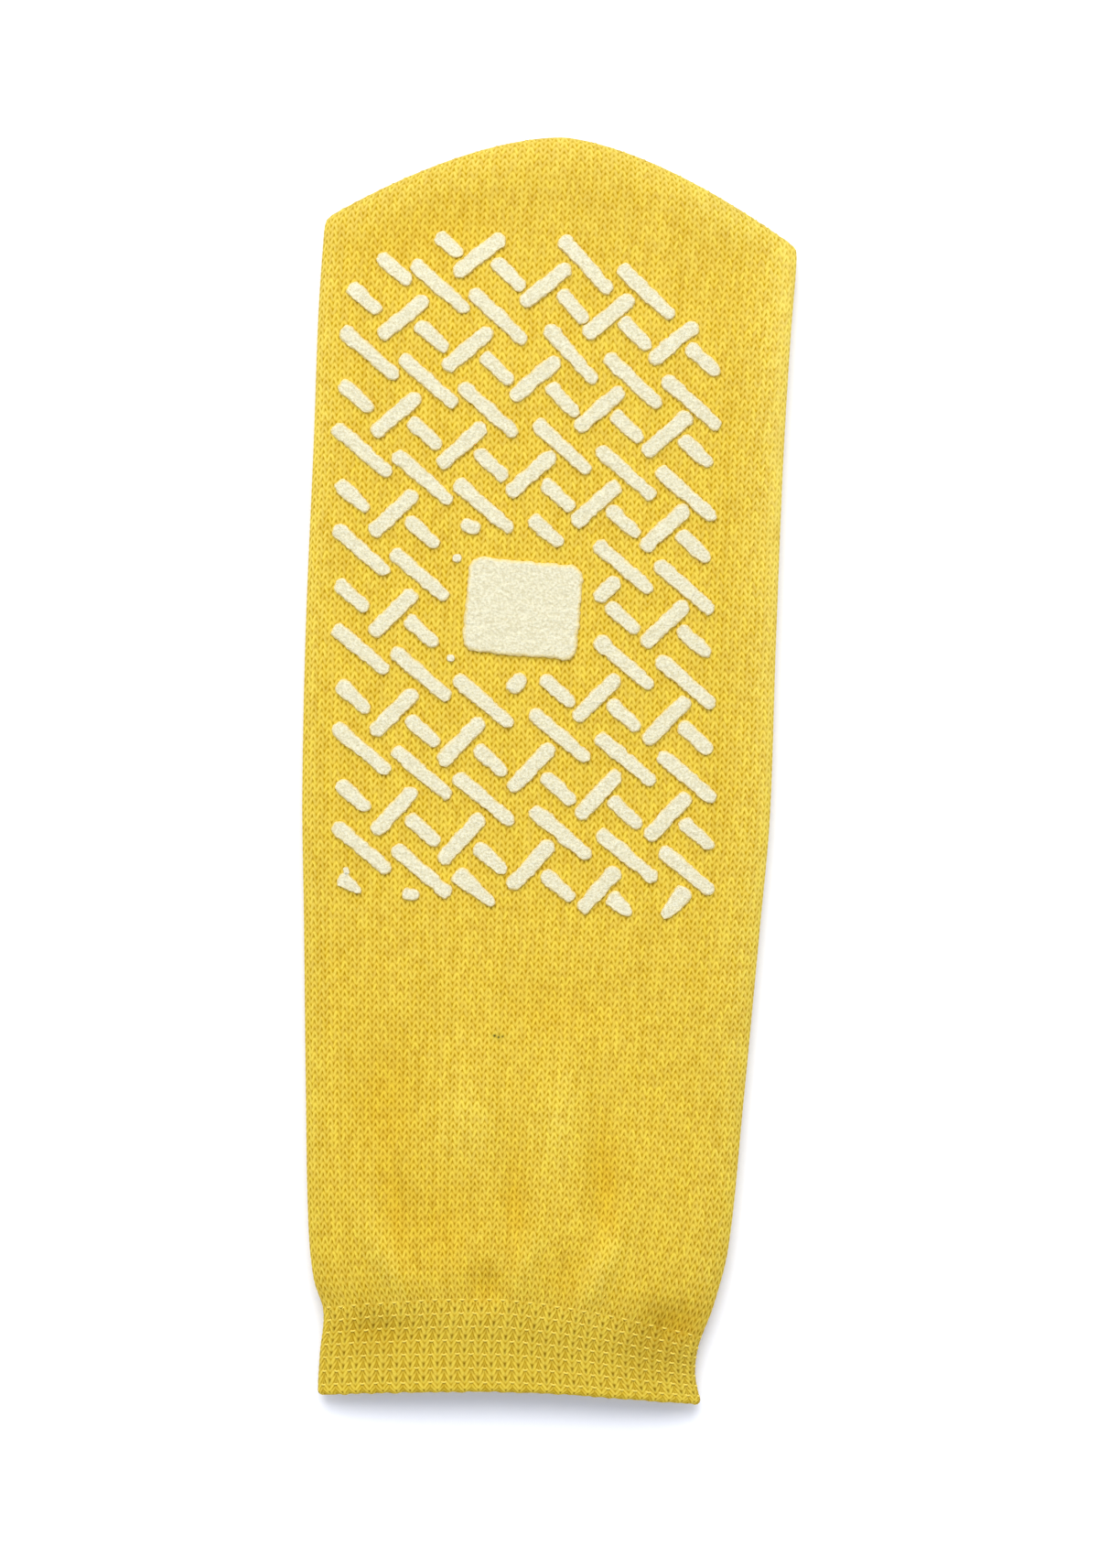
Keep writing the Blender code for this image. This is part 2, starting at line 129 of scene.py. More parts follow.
# Samples that measure the way over the toe and round a section, rounds that find the course through a point,
# and the step that finds a slope.
TOE_SAMPLES = 500
SECTION_SAMPLES = 4001
COURSE_ROUNDS = 30
NEAR = 1e-4

# Relief of a stitch over the fabric's own surface: the crest of its legs and the gap above them, at the foot
# of a leg, in its middle and at its top, and the recessed wales of the cuff.
LEG_PLACES = (0.0, 0.5, 1.0)
CREST = (0.12, 0.26, 0.14)
GAP = (-0.22, 0.04, -0.24)
CUFF_HOLE = -0.12
RECESSED_WALE = -0.20
# The recess runs like a wave across the wales: its level and swing, the share of their height that its
# stitches lose, and the courses over the rim in which it fades in.
RECESS_LEVEL = 0.3
RECESS_SWING = 0.8
RECESS_CALM = 0.7
RECESS_START = 1.5
# The folds press the stitches flat: the share of their height left there, and the wales to full height.
FOLD_RELIEF = 0.25
FOLD_REACH = 2.5
UNDERSIDE_GROOVE = 0.3
# In the cuff the plain wales spread over the recessed ones, by this much to each side.
CUFF_SPREAD = 0.25
# Uneven hand of the knit: how far stitches stray along, across and in height, over how many wales and
# courses, with a seed for each. At the folds and the rim they hold still, and they stray in full after some
# wales or courses.
Stray = namedtuple("Stray", "reach size seed")
STRAY_ALONG = Stray(0.12, 1.7, 3.1)
STRAY_ACROSS = Stray(0.10, 1.9, 9.4)
STRAY_HEIGHT = Stray(0.02, 1.3, 5.2)
FIRM_WALES = 2.0
FIRM_COURSES = 3.0

# Underside and lining are coarser than the tread side: their steps in its columns and rows, the lining's
# step along the sock in millimetres, and its steps over the toe.
UNDERSIDE_COLUMN_STEP = 2
UNDERSIDE_ROW_STEP = 4
LINING_COLUMN_STEP = 8
LINING_STEP = 5.0
LINING_TOE_STEPS = 9
# The lining starts this many rolls of the rim inside it, and is joined to the rim's edge further down.
LINING_START = 2.5
LINING_EDGE = 1.6

# Rolled rim: how far it stands out round the edge of the cuff, the points round it and the courses from one
# to the next, its scallops, how far it wanders and the seed of that, and a rung that lies below every course.
RIM_ROLL = 1.0
RIM_POINTS = 5
RIM_POINT_COURSES = 0.6
SCALLOP = 0.06
RIM_WANDER = 0.22
RIM_SEED = 7.7
RIM_RUNG = -10000

# Sheet of the sock's own spots, in millimetres: its size, a wale's width on it and the courses under the
# cuff's top. Each face of the tube has its start and scale there, and the number of its material.
SHEET = 340.0
SHEET_WALE = 1.85
SHEET_BELOW = 20.0
SheetFace = namedtuple("SheetFace", "start scale finish")
TREAD_FACE = SheetFace(2.0, 1.0, 0)
UNDERSIDE_FACE = SheetFace(114.0, 1.0, 1)
LINING_FACES = {True: SheetFace(226.0, 0.5, 2), False: SheetFace(284.0, 0.5, 2)}

# Elastic rows of the cuff, some courses apart: each thread floats straight over a recessed wale and dips
# along the legs of the plain wale beside it. Reach is the half width of the dip, in wales. Limit is how near
# the threads come to the side folds.
ELASTIC_ROWS = 7
ELASTIC_PITCH = 2.0
ELASTIC_TOP = 0.4
ELASTIC_LIMIT = 0.995
ELASTIC_DIP = -0.18
ELASTIC_REACH = 0.75
ELASTIC_RADIUS = 0.21
ELASTIC_LIFT = 0.08
ELASTIC_SINK = 0.75
ELASTIC_STEPS = 6
ELASTIC_SIDES = 6
ELASTIC_STRAY = Stray(0.12, 1.6, 4.4)
ELASTIC_SMOOTH = math.radians(70)

# Foam tread: the bars that repeat. A bar turns by its angle at the middle of the sock and by its fan for
# each millimetre nearer the toe. Top is the height of its crown over the fabric.
BarKind = namedtuple("BarKind", "name length width top turn fan taper")
LONG = BarKind("long", 16.4, 3.4, 1.0, -37.9, -0.015, 0.10)
SLASH = BarKind("slash", 13.6, 3.7, 1.0, 48.6, -0.072, 0.0)
SHORT = BarKind("short", 9.3, 3.4, 0.95, -39.6, -0.005, 0.10)
# The knit is drawn in under the toe, which turns the long and short bars there: middle, reach and turn.
DrawnIn = namedtuple("DrawnIn", "x y half_width half_length turn")
TOE_PULL = DrawnIn(3.0, 100.0, 13.0, 26.0, -8.0)

# The columns of the print, at the row of bars under the ball of the foot.
TreadColumn = namedtuple("TreadColumn", "number long slash short")
TREAD_COLUMNS = (
    TreadColumn(-1, None, None, (-41.0, 35.4)),
    TreadColumn(0, (-39.0, 24.4), (-32.1, 32.2), (-25.8, 28.4)),
    TreadColumn(1, (-25.7, 19.4), (-17.6, 26.5), (-11.2, 22.6)),
    TreadColumn(2, (-12.2, 14.2), (-2.5, 21.3), (3.5, 17.0)),
    TreadColumn(3, (4.3, 7.5), (11.9, 15.9), (17.8, 12.4)),
    TreadColumn(4, (18.5, 3.1), (26.9, 11.7), (33.2, 8.2)),
    TreadColumn(5, (31.9, -0.3), None, None),
)
TREAD_ROWS = range(-5, 5)
ROW_PITCH = 21.16
ROW_SHIFT = 0.99
# Stretch of the knit under the print: how far it sways sideways towards the toe, and how the rows open
# out from the left column to the right one.
SWAY = 0.108
SWAY_AT_TOE = 0.060
SWAY_OF_COLUMNS = 0.038
COLUMN_SPREAD = 0.05
ROW_SPREAD = 0.169
ROW_SQUEEZE = 0.025

# Outline of the print, anticlockwise from the heel's left corner, and the clear window under the ball of
# the foot, which the stretch has pulled a little out of square.
PRINT_OUTLINE = (
    (-42.5, -28.0),
    (38.6, -30.6),
    (36.0, 89.0),
    (29.5, 97.0),
    (15.5, 108.0),
    (2.5, 114.6),
    (-24.5, 113.8),
    (-38.7, 108.2),
    (-47.5, 98.6),
)
WINDOW_OUTLINE = ((-20.0, 20.7), (11.5, 19.6), (10.0, 47.4), (-21.1, 49.5))
# What an outline leaves of a bar is printed from this length on. A bar cut at the heel runs to a point: its
# taper there, and the share of it that has to be cut off for all of that taper.
SHORTEST_BAR = 5.1
CUT_TAPER = 0.30
FULL_CUT = 0.25
# Ends of the bars are rounded by this share of half their width.
BAR_ROUNDING = 0.999

# Stubs of bars that the edge of the print or of the window cuts short. Taper is the share of its width that
# a bar gains at its first end and loses at its last.
Bar = namedtuple("Bar", "x y length width turn taper")
STUBS = (
    Bar(-19.0, 44.3, 2.2, 2.0, 0.0, 0.0),
    Bar(-19.5, 23.1, 2.0, 1.8, 0.0, 0.0),
    Bar(-16.3, 51.1, 4.7, 3.1, -20.0, 0.0),
    Bar(-38.9, -25.9, 6.2, 3.0, -34.0, 0.6),
    Bar(-39.9, -23.0, 2.0, 1.5, -70.0, 0.0),
    Bar(-26.0, -27.4, 4.0, 2.7, 0.0, 0.0),
)

# Plain foam patch in the window.
PAD_CENTRE = (-4.6, 34.2)
PAD_SIZE = (24.6, 20.4)
PAD_TURN = -3.1
PAD_CORNER = 3.0
PAD_TOP = 1.2

# Foam: the spacing of its points, how deep its edge sinks into the knit, how square its section is, and its
# uneven puff and crumb.
FOAM_SPACING = 0.30
FOAM_LEAST_STEPS = 6
FOAM_SUNK = 0.35
FOAM_PUFF = 14.0
FOAM_SMOOTH = math.radians(60)
PUFF_SIZE = 2.2
PUFF_DEPTH = 0.24
CRUMB_SIZE = 0.8
CRUMB_DEPTH = 0.26
# Painted yellow light, bounced from the yarn, lies on its edge from this share of the way out.
BOUNCE_FROM = 0.70
EDGE_BOUNCE_TINT = 0.75
# The edge of the print wanders, in wide waves and in small ones, and alike in every run.
WANDER_SEED = 3
WANDER_SIZES = (2.6, 0.9)
WANDER_REACH = (0.28, 0.22)

# Sizes in the materials: patches of uneven dye, fibres of the yarn, the height of the stitches on the flat
# underside, pits and grains of the foam, their depth and how far light wanders in it, turns of the elastic's
# cover and their depth, purl arcs of the lining, as a share of a course, and their height, and the tooth of
# the paper. Fibres, grains and turns are really finer, and are drawn as coarse as they need to show.
PATCH_SIZE = 14.0
FIBRE_SIZE = 0.25
STITCH_BUMP = 0.4
PIT_SIZE = 0.45
GRAIN_SIZE = 0.55
GRAIN_DEPTH = 0.2
FOAM_GLOW = 0.6
THREAD_TURN = 0.25
TURN_DEPTH = 0.05
PURL_ARCH = 0.22
PURL_HEIGHT = 0.35
PAPER_TOOTH = 2.0


def ramp(start, end, low=0.0, high=1.0):
    """Inputs of a map range: the range that its value comes from, and what it gives at both ends."""
    return {"From Min": start, "From Max": end, "To Min": low, "To Max": high}


# Painted shade of a stitch, for the shade between its legs: from the middle of a leg out into the gap, over
# the leg's top and at its foot, counted in courses and wales, then weaker in the cuff, from stitch to stitch
# and at the folds, under their painted sheen.
LEG_GAP = ramp(0.10, 0.44)
LEG_TOP = ramp(0.28, 0.48, 0.26, 1.04)
LEG_FOOT = ramp(0.22, 0.02, 0.0, 0.90)
CUFF_FIRM = ramp(0.0, 1.0, 0.95, 0.85)
LOOSE_STITCH = ramp(0.35, 0.65, 0.85, 1.12)
SHADE_LEFT_AT_FOLD = ramp(0.7, 1.4, 1.0, 0.7)
# How often stitches stray or loosen, for each of them, and how far their colours stray across and along.
STRAYS_PER_STITCH = 0.55
SLACK_PER_STITCH = 0.9
COLOUR_STRAY = (0.06, 0.10, 0.0)
# Uneven dye: how far a leg of a stitch or a wale of them is lighter or darker, how far a leg or a patch is
# brighter, and how far red, green and blue differ from leg to leg. From toe to cuff the yarn deepens, and
# painted shade darkens the toe where it curls away from the light, at these places along the sock in metres.
LEG_SHADE = ramp(0.0, 1.0, -0.16, 0.16)
WALE_SHADE = ramp(0.0, 1.0, -0.05, 0.06)
LEG_DYE = ramp(0.0, 1.0, 0.945, 1.055)
PATCH_DYE = ramp(0.3, 0.7, 0.985, 1.015)
FLECK = (0.03, 0.05, 0.16)
TOE_TO_CUFF = ramp(0.12, -0.11)
TOE_CURL_SHADE = ramp(0.098, 0.122, 1.0, 0.91)
# Cuff: the painted shade of its recessed wales, which slopes to a point over each thread and starts clear of
# it, and of the whole cuff below its top, painted light on the legs of its plain wales, and painted
# shade in the holes between them.
RECESS_SLOPE = 2.4
RECESS_PAINTED_SHADE = ramp(1.75, 0.85, 0.0, 0.28)
RECESS_CLEAR = ramp(0.10, 0.35)
CUFF_PAINTED_SHADE = ramp(0.0, -4.0, 0.0, 0.22)
PLAIN_LEGS = ramp(0.75, 0.45, 0.0, 0.50)
HOLE_PLACE = 0.62
HOLE_HEIGHT = ramp(0.56, 0.18)
HOLE_WIDTH = ramp(0.18, 0.04, 0.0, 0.50)
# Light and dark of the lining's purl arcs and of the foam's grain.
PURL_SHADE = ramp(-1.0, 1.0)
GRAIN_TONE = ramp(0.35, 0.65)
# Painted shade in the creases: how much red, green and blue a millimetre of crease takes from the yarn.
CREASE_SHADE_TINT = (-0.035, -0.085, -0.280)
# Painted sheen at the folds, where the fuzz would catch the light: how much it adds, how far it reaches from
# each fold and how strong it is there, how it fades, and the share of it that is left at the cuff.
FOLD_SHEEN_TINT = (0.090, 0.140, 0.480)
FOLD_WIDTHS = {"left": 7.0, "right": 12.0, "toe": 10.0}
FOLD_STRENGTHS = {"left": 1.0, "right": 1.7, "toe": 1.1}
FOLD_FADE = 1.5
FOLD_AT_CUFF = 0.3

# Spots of colour on the knit: painted shade on the left and the right of the cuff, and a small stain.
Spot = namedtuple("Spot", "x y half_width half_length turn tint strength")
SHADE_AND_STAIN_SPOTS = (
    Spot(-30.0, -122.0, 11.0, 8.0, 0.0, "#8E6A14", 0.20),
    Spot(31.0, -120.0, 15.0, 13.0, 20.0, "#8E6A14", 0.30),
    Spot(-6.3, -56.9, 3.0, 1.6, 0.0, "#A09531", 0.30),
    Spot(-7.0, -56.7, 0.5, 0.5, 0.0, "#363814", 0.95),
    Spot(-6.1, -57.0, 0.45, 0.5, 0.0, "#363814", 0.90),
    Spot(-5.3, -56.8, 0.4, 0.4, 0.0, "#414118", 0.70),
)


def colour(code):
    """Linear colour of an sRGB hex value."""
    channels = [int(code[k:k + 2], 16) / 255.0 for k in (1, 3, 5)]
    linear = [c / 12.92 if c <= 0.04045 else ((c + 0.055) / 1.055) ** 2.4 for c in channels]
    return (*linear, 1.0)


def place_of_pixel(pixel):
    """Point of the floor, in the sock's frame, that a pixel of the photograph shows."""
    right = pixel[0] - SOCK_ORIGIN_PIXEL[0]
    up = SOCK_ORIGIN_PIXEL[1] - pixel[1]
    x = right * math.cos(SOCK_TURN) - up * math.sin(SOCK_TURN)
    y = right * math.sin(SOCK_TURN) + up * math.cos(SOCK_TURN)
    return x * PIXEL, y * PIXEL


# Shape of the tube

def tube(column, course):
    """Size of the tube at the course whose middle lies at y, on a smooth curve through the table."""
    ys = np.array([row.y for row in TUBE_ROWS])
    values = np.array([getattr(row, column) for row in TUBE_ROWS])
    slopes = np.empty(len(ys))
    slopes[1:-1] = (values[2:] - values[:-2]) / (ys[2:] - ys[:-2])
    slopes[0] = (values[1] - values[0]) / (ys[1] - ys[0])
    slopes[-1] = (values[-1] - values[-2]) / (ys[-1] - ys[-2])
    course = np.clip(course, ys[0], ys[-1])
    k = np.clip(np.searchsorted(ys, course, side="right") - 1, 0, len(ys) - 2)
    span = ys[k + 1] - ys[k]
    f = (course - ys[k]) / span
    start = values[k] * (1 + 2 * f) * (1 - f) ** 2 + slopes[k] * span * f * (1 - f) ** 2
    end = values[k + 1] * f * f * (3 - 2 * f) - slopes[k + 1] * span * f * f * (1 - f)
    return start + end


def crease_depth(x, y):
    """Depth of the creases at a point of the tread side."""
    depth = 0.0
    for fold in CREASES:
        turn = math.radians(fold.turn)
        across = (x - fold.x) * math.cos(turn) + (y - fold.y) * math.sin(turn)
        along = (y - fold.y) * math.cos(turn) - (x - fold.x) * math.sin(turn)
        off = (across / fold.half_width) ** 2 + (along / fold.half_length) ** 2
        depth = depth + fold.depth * np.exp(-off)
    return depth


def closing(fraction, sharpness, roundness):
    """Share of the full swell that is left towards a fold."""
    return np.maximum(1.0 - np.abs(fraction) ** sharpness, 0.0) ** roundness


def tube_points(across, course, tread_side, inner=False):
    """Points of the tube: across runs from -1 to 1 between its side folds, on its outer or inner face."""
    across, course = np.broadcast_arrays(across, course)
    wall = tube("wall", course) if inner else np.zeros(course.shape)
    left = tube("left", course) + wall
    right = tube("right", course) - wall
    x = left + (across + 1.0) / 2.0 * (right - left)
    y = course - tube("bow", course) * np.abs(across) ** ROW_CURVE - tube("lean", course) * across
    loft = tube("loft", course)
    fold = FOLD_HEIGHT * loft
    toe_root = COURSE_AT["toe_root"]
    toe = np.clip((course - toe_root) / (COURSE_AT["toe_fold"] - wall - toe_root), 0.0, 1.0)
    if tread_side:
        swell = closing(across, CROWN_SHARPNESS, CROWN_ROUNDNESS)
        swell = swell * closing(toe, TOE_SHARPNESS, FOLD_ROUNDNESS)
        z = fold + (loft - wall - fold) * swell - crease_depth(x, y) * swell
    else:
        swell = closing(across, UNDERSIDE_SHARPNESS, FOLD_ROUNDNESS)
        swell = swell * closing(toe, UNDERSIDE_SHARPNESS, FOLD_ROUNDNESS)
        z = np.maximum(fold - (fold - wall + PRESSED_FLAT) * swell, wall)
    return np.stack((x, y, z), axis=-1)


def tread_surface(x, y):
    """Height of the sock's tread side over points of the floor. The course through a point is found by
    coming closer to it each round."""
    course = y
    for _ in range(COURSE_ROUNDS):
        left = tube("left", course)
        right = tube("right", course)
        across = np.clip(2.0 * (x - left) / (right - left) - 1.0, -1.0, 1.0)
        course = y + tube("bow", course) * np.abs(across) ** ROW_CURVE + tube("lean", course) * across
    return tube_points(across, course, True)[..., 2]


def path_lengths(points):
    """Distance along a line of points, from its first point, down the first axis of the array."""
    steps = np.linalg.norm(np.diff(points, axis=0), axis=-1)
    return np.concatenate((np.zeros((1,) + steps.shape[1:]), np.cumsum(steps, axis=0)))


# Stitches of the tube

def column_places():
    """Where the columns of the knit lie between the side folds: the same distance apart round the section."""
    fine = np.sin(np.linspace(-math.pi / 2, math.pi / 2, SECTION_SAMPLES))
    reach = path_lengths(tube_points(fine, COURSE_AT["waist"], True))
    return np.interp(np.linspace(0.0, reach[-1], COLUMNS + 1), reach, fine)


def leg_share(column):
    """How far a column lies from the middle of its wale (0) to the side of it (1)."""
    return abs(column % COLUMNS_PER_WALE * 2.0 / COLUMNS_PER_WALE - 1.0)


ACROSS = column_places()
CUFF_TOP = COURSE_AT["cuff_top"]
RIM_COUNT = (COURSE_AT["rim"] + RIM_ROLL - CUFF_TOP) / CUFF_COURSE
BALL_COUNT = (COURSE_AT["ball"] - CUFF_TOP) / COURSE


def toe_counts(across):
    """Courses counted from the cuff's top, and where their middles lie, from the ball of the foot to the
    toe fold, along one column. They keep their height over the curve of the toe."""
    ball, fold = COURSE_AT["ball"], COURSE_AT["toe_fold"]
    middles = ball + (fold - ball) * np.sin(np.linspace(0.0, math.pi / 2, TOE_SAMPLES))
    return BALL_COUNT + path_lengths(tube_points(across, middles, True)) / COURSE, middles


def course_middles(counts, toe):
    """Where the middles of courses lie, for counts from the cuff's top."""
    middles = np.where(counts < 0.0, CUFF_TOP + counts * CUFF_COURSE, CUFF_TOP + counts * COURSE)
    return np.where(counts > BALL_COUNT, np.interp(counts, *toe), middles)


def uneven(place, stray):
    """Smooth noise from -1 to 1 over places counted in wales and courses."""
    size = stray.size
    return np.array([noise.noise(Vector((u / size, v / size, stray.seed))) for u, v in place])


def in_cuff(counts):
    """Share of the cuff's own knit in courses counted from its top."""
    return np.clip(0.5 - counts, 0.0, 1.0)


def cuff_spread(wale):
    """How far a place in the cuff moves sideways, as its plain wales spread over the recessed ones."""
    return CUFF_SPREAD * np.sin(math.pi * (wale - 0.5))


def stitch_relief(column, row, counts):
    """Height of the knit over the fabric's surface along one column of the tread side."""
    crest = np.interp(leg_share(column), LEG_PLACES, CREST)
    gap = np.interp(leg_share(column), LEG_PLACES, GAP)
    relief = np.where(row % ROWS_PER_COURSE == 1, crest, gap)
    wale = column / COLUMNS_PER_WALE
    relief = relief * min(FOLD_RELIEF + min(wale, WALES - wale) / FOLD_REACH, 1.0)
    recess = np.clip(RECESS_LEVEL + RECESS_SWING * math.cos(math.pi * (wale - 1.5)), 0.0, 1.0)
    cuff = in_cuff(counts) * np.clip((counts - RIM_COUNT) / RECESS_START, 0.0, 1.0)
    if leg_share(column) == 0.0 and recess == 0.0:
        relief = relief + CUFF_HOLE * cuff * (row % (2 * ROWS_PER_COURSE) == ROWS_PER_COURSE)
    return relief * (1.0 - RECESS_CALM * recess * cuff) + RECESSED_WALE * recess * cuff


def surface_normals(across, middles, tread_side):
    """Outward normals of the tube at points that lie inside its folds."""
    right = tube_points(np.minimum(across + NEAR, 1.0), middles, tread_side)
    left = tube_points(np.maximum(across - NEAR, -1.0), middles, tread_side)
    ahead = tube_points(across, np.minimum(middles + NEAR, COURSE_AT["toe_fold"]), tread_side)
    cuff_shade = tube_points(across, middles - NEAR, tread_side)
    normals = np.cross(right - left, ahead - cuff_shade)
    if not tread_side:
        normals = -normals
    return normals / np.linalg.norm(normals, axis=-1, keepdims=True)


class KnitMesh:
    """Points and faces of the tube, with two places on each corner of a face: its stitch, counted in wales
    and courses, and its own spot on the sheet."""

    def __init__(self):
        self.points = []
        self.faces = []
        self.stitches = []
        self.spots = []
        self.finishes = []

    def add_points(self, points):
        first = len(self.points)
        self.points.extend(map(tuple, points))
        return list(range(first, len(self.points)))

    def add_face(self, corners, stitch_of, side):
        self.faces.append(corners)
        self.finishes.append(side.finish)
        for corner in corners:
            wale, count = stitch_of[corner]
            over = side.start + side.scale * wale * SHEET_WALE
            up = side.scale * (count + SHEET_BELOW) * COURSE
            self.stitches.append((wale, count))
            self.spots.append((over / SHEET, up / SHEET))


def zip_columns(left, right, over_end=()):
    """Faces between two columns. A column lists a rung and a point for each row: points on the same rung
    are joined, others get a triangle. Over_end holds the points between the two last ones."""
    faces = []
    i = j = 0
    while i < len(left) - 1 or j < len(right) - 1:
        next_left = left[i + 1][0] if i < len(left) - 1 else math.inf
        next_right = right[j + 1][0] if j < len(right) - 1 else math.inf
        if next_left == next_right and i < len(left) - 1 and j < len(right) - 1:
            last = i == len(left) - 2 and j == len(right) - 2
            top = (right[j + 1][1], *(over_end if last else ()), left[i + 1][1])
            faces.append((left[i][1], right[j][1], *top))
            i += 1
            j += 1
        elif j == len(right) - 1 or (next_left < next_right and i < len(left) - 1):
            faces.append((left[i][1], right[j][1], left[i + 1][1]))
            i += 1
        else:
            faces.append((left[i][1], right[j][1], right[j + 1][1]))
            j += 1
    return faces


def rim_roll(column, tread_side):
    """Points round the rolled rim at one column, from the lining to just short of the outer face."""
    across = ACROSS[column]
    start = COURSE_AT["rim"] + RIM_ROLL
    outer = tube_points(across, start, tread_side)
    inner = tube_points(across, start, tread_side, inner=True)
    wale = column / COLUMNS_PER_WALE
    wander = noise.noise(Vector((wale, RIM_SEED, 0.0)))
    roll = RIM_ROLL * (1.0 + SCALLOP * math.cos(math.pi * wale) + RIM_WANDER * wander)
    points = []
    for k in range(RIM_POINTS, 0, -1):
        angle = math.pi * k / (RIM_POINTS + 1)
        lip = (outer + inner) / 2 + (outer - inner) / 2 * math.cos(angle)
        points.append(lip - np.array((0.0, roll * math.sin(angle), 0.0)))
    return points


def outer_column(knit, column, tread_side, rows, stitch_of, fold_point=None):
    """One column of the outer face, from the lining's edge round the rim to the toe fold, where the underside
    ends on a fold_point of the tread side. Returns a rung and a point for each row."""
    across = ACROSS[column]
    wale = column / COLUMNS_PER_WALE
    toe = toe_counts(across)
    rise = LEG_RISE * leg_share(column) if tread_side else 0.0
    counts = rows / ROWS_PER_COURSE + rise
    kept = (counts > RIM_COUNT + EDGE_ROOM) & (counts < toe[0][-1] - EDGE_ROOM)
    rows, counts = rows[kept], counts[kept]
    place = [(wale, count) for count in counts]
    middles = course_middles(counts, toe)
    edge = np.clip(np.minimum(wale, WALES - wale) / FIRM_WALES, 0.0, 1.0)
    loose = edge * np.clip((counts - RIM_COUNT) / FIRM_COURSES, 0.0, 1.0)
    loose = loose * np.clip((toe[0][-1] - counts) / FIRM_COURSES, 0.0, 1.0)
    along = loose * STRAY_ALONG.reach * uneven(place, STRAY_ALONG)
    sideways = loose * STRAY_ACROSS.reach * uneven(place, STRAY_ACROSS)
    sideways += edge * in_cuff(counts) * cuff_spread(wale)
    moved = np.clip(across + 2.0 * sideways / (tube("right", middles) - tube("left", middles)), -1.0, 1.0)
    points = tube_points(moved, middles + along, tread_side)
    if tread_side:
        relief = stitch_relief(column, rows, counts)
        relief = relief + loose * STRAY_HEIGHT.reach * uneven(place, STRAY_HEIGHT)
    else:
        relief = np.full(len(rows), -UNDERSIDE_GROOVE * leg_share(column))
    points = points + surface_normals(across, middles, tread_side) * relief[:, None]
    points[:, 2] = np.maximum(points[:, 2], 0.0)
    rim = rim_roll(column, tread_side)
    start = tube_points(across, COURSE_AT["rim"] + RIM_ROLL, tread_side)
    ids = knit.add_points([*rim, start, *points])
    if fold_point is None:
        ids += knit.add_points([tube_points(across, COURSE_AT["toe_fold"], tread_side)])
    else:
        ids.append(fold_point)
    rolled = [RIM_COUNT - (k + 1) * RIM_POINT_COURSES for k in reversed(range(RIM_POINTS))]
    for number, count in zip(ids, [*rolled, RIM_COUNT, *counts, toe[0][-1]]):
        stitch_of[number] = (wale, count)
    rim_rungs = range(RIM_RUNG, RIM_RUNG + RIM_POINTS + 1)
    rungs = [*rim_rungs, *(ROWS_PER_COURSE * counts - 2 * rise), math.inf]
    return list(zip(rungs, ids))


def knitted_sock():
    """The sock's mesh: tread side, underside and lining, closed round the rim and the toe. Stitches are too
    many and too small to model by hand, so it is made from their points."""
    knit = KnitMesh()
    first_row = math.floor(ROWS_PER_COURSE * RIM_COUNT) - ROWS_PER_COURSE
    rows = np.arange(first_row, math.ceil(ROWS_PER_COURSE * (BALL_COUNT + TOE_COURSES)))
    stitch_over, stitch_under = {}, {}
    over = [outer_column(knit, k, True, rows, stitch_over) for k in range(COLUMNS + 1)]
    for left, right in zip(over, over[1:]):
        for face in zip_columns(left, right):
            knit.add_face(face, stitch_over, TREAD_FACE)

    fold_points = [column[-1][1] for column in over]
    under_rows = rows[rows % UNDERSIDE_ROW_STEP == 0]
    under = {0: over[0], COLUMNS: over[COLUMNS]}
    for k in range(UNDERSIDE_COLUMN_STEP, COLUMNS, UNDERSIDE_COLUMN_STEP):
        under[k] = outer_column(knit, k, False, under_rows, stitch_under, fold_points[k])
    shared = [number for _, number in over[0] + over[COLUMNS]] + fold_points
    stitch_under.update({number: stitch_over[number] for number in shared})
    for k in range(0, COLUMNS, UNDERSIDE_COLUMN_STEP):
        between = fold_points[k + 1:k + UNDERSIDE_COLUMN_STEP][::-1]
        for face in zip_columns(under[k], under[k + UNDERSIDE_COLUMN_STEP], between):
            knit.add_face(face[::-1], stitch_under, UNDERSIDE_FACE)

    lining(knit, over, under)
    return knit


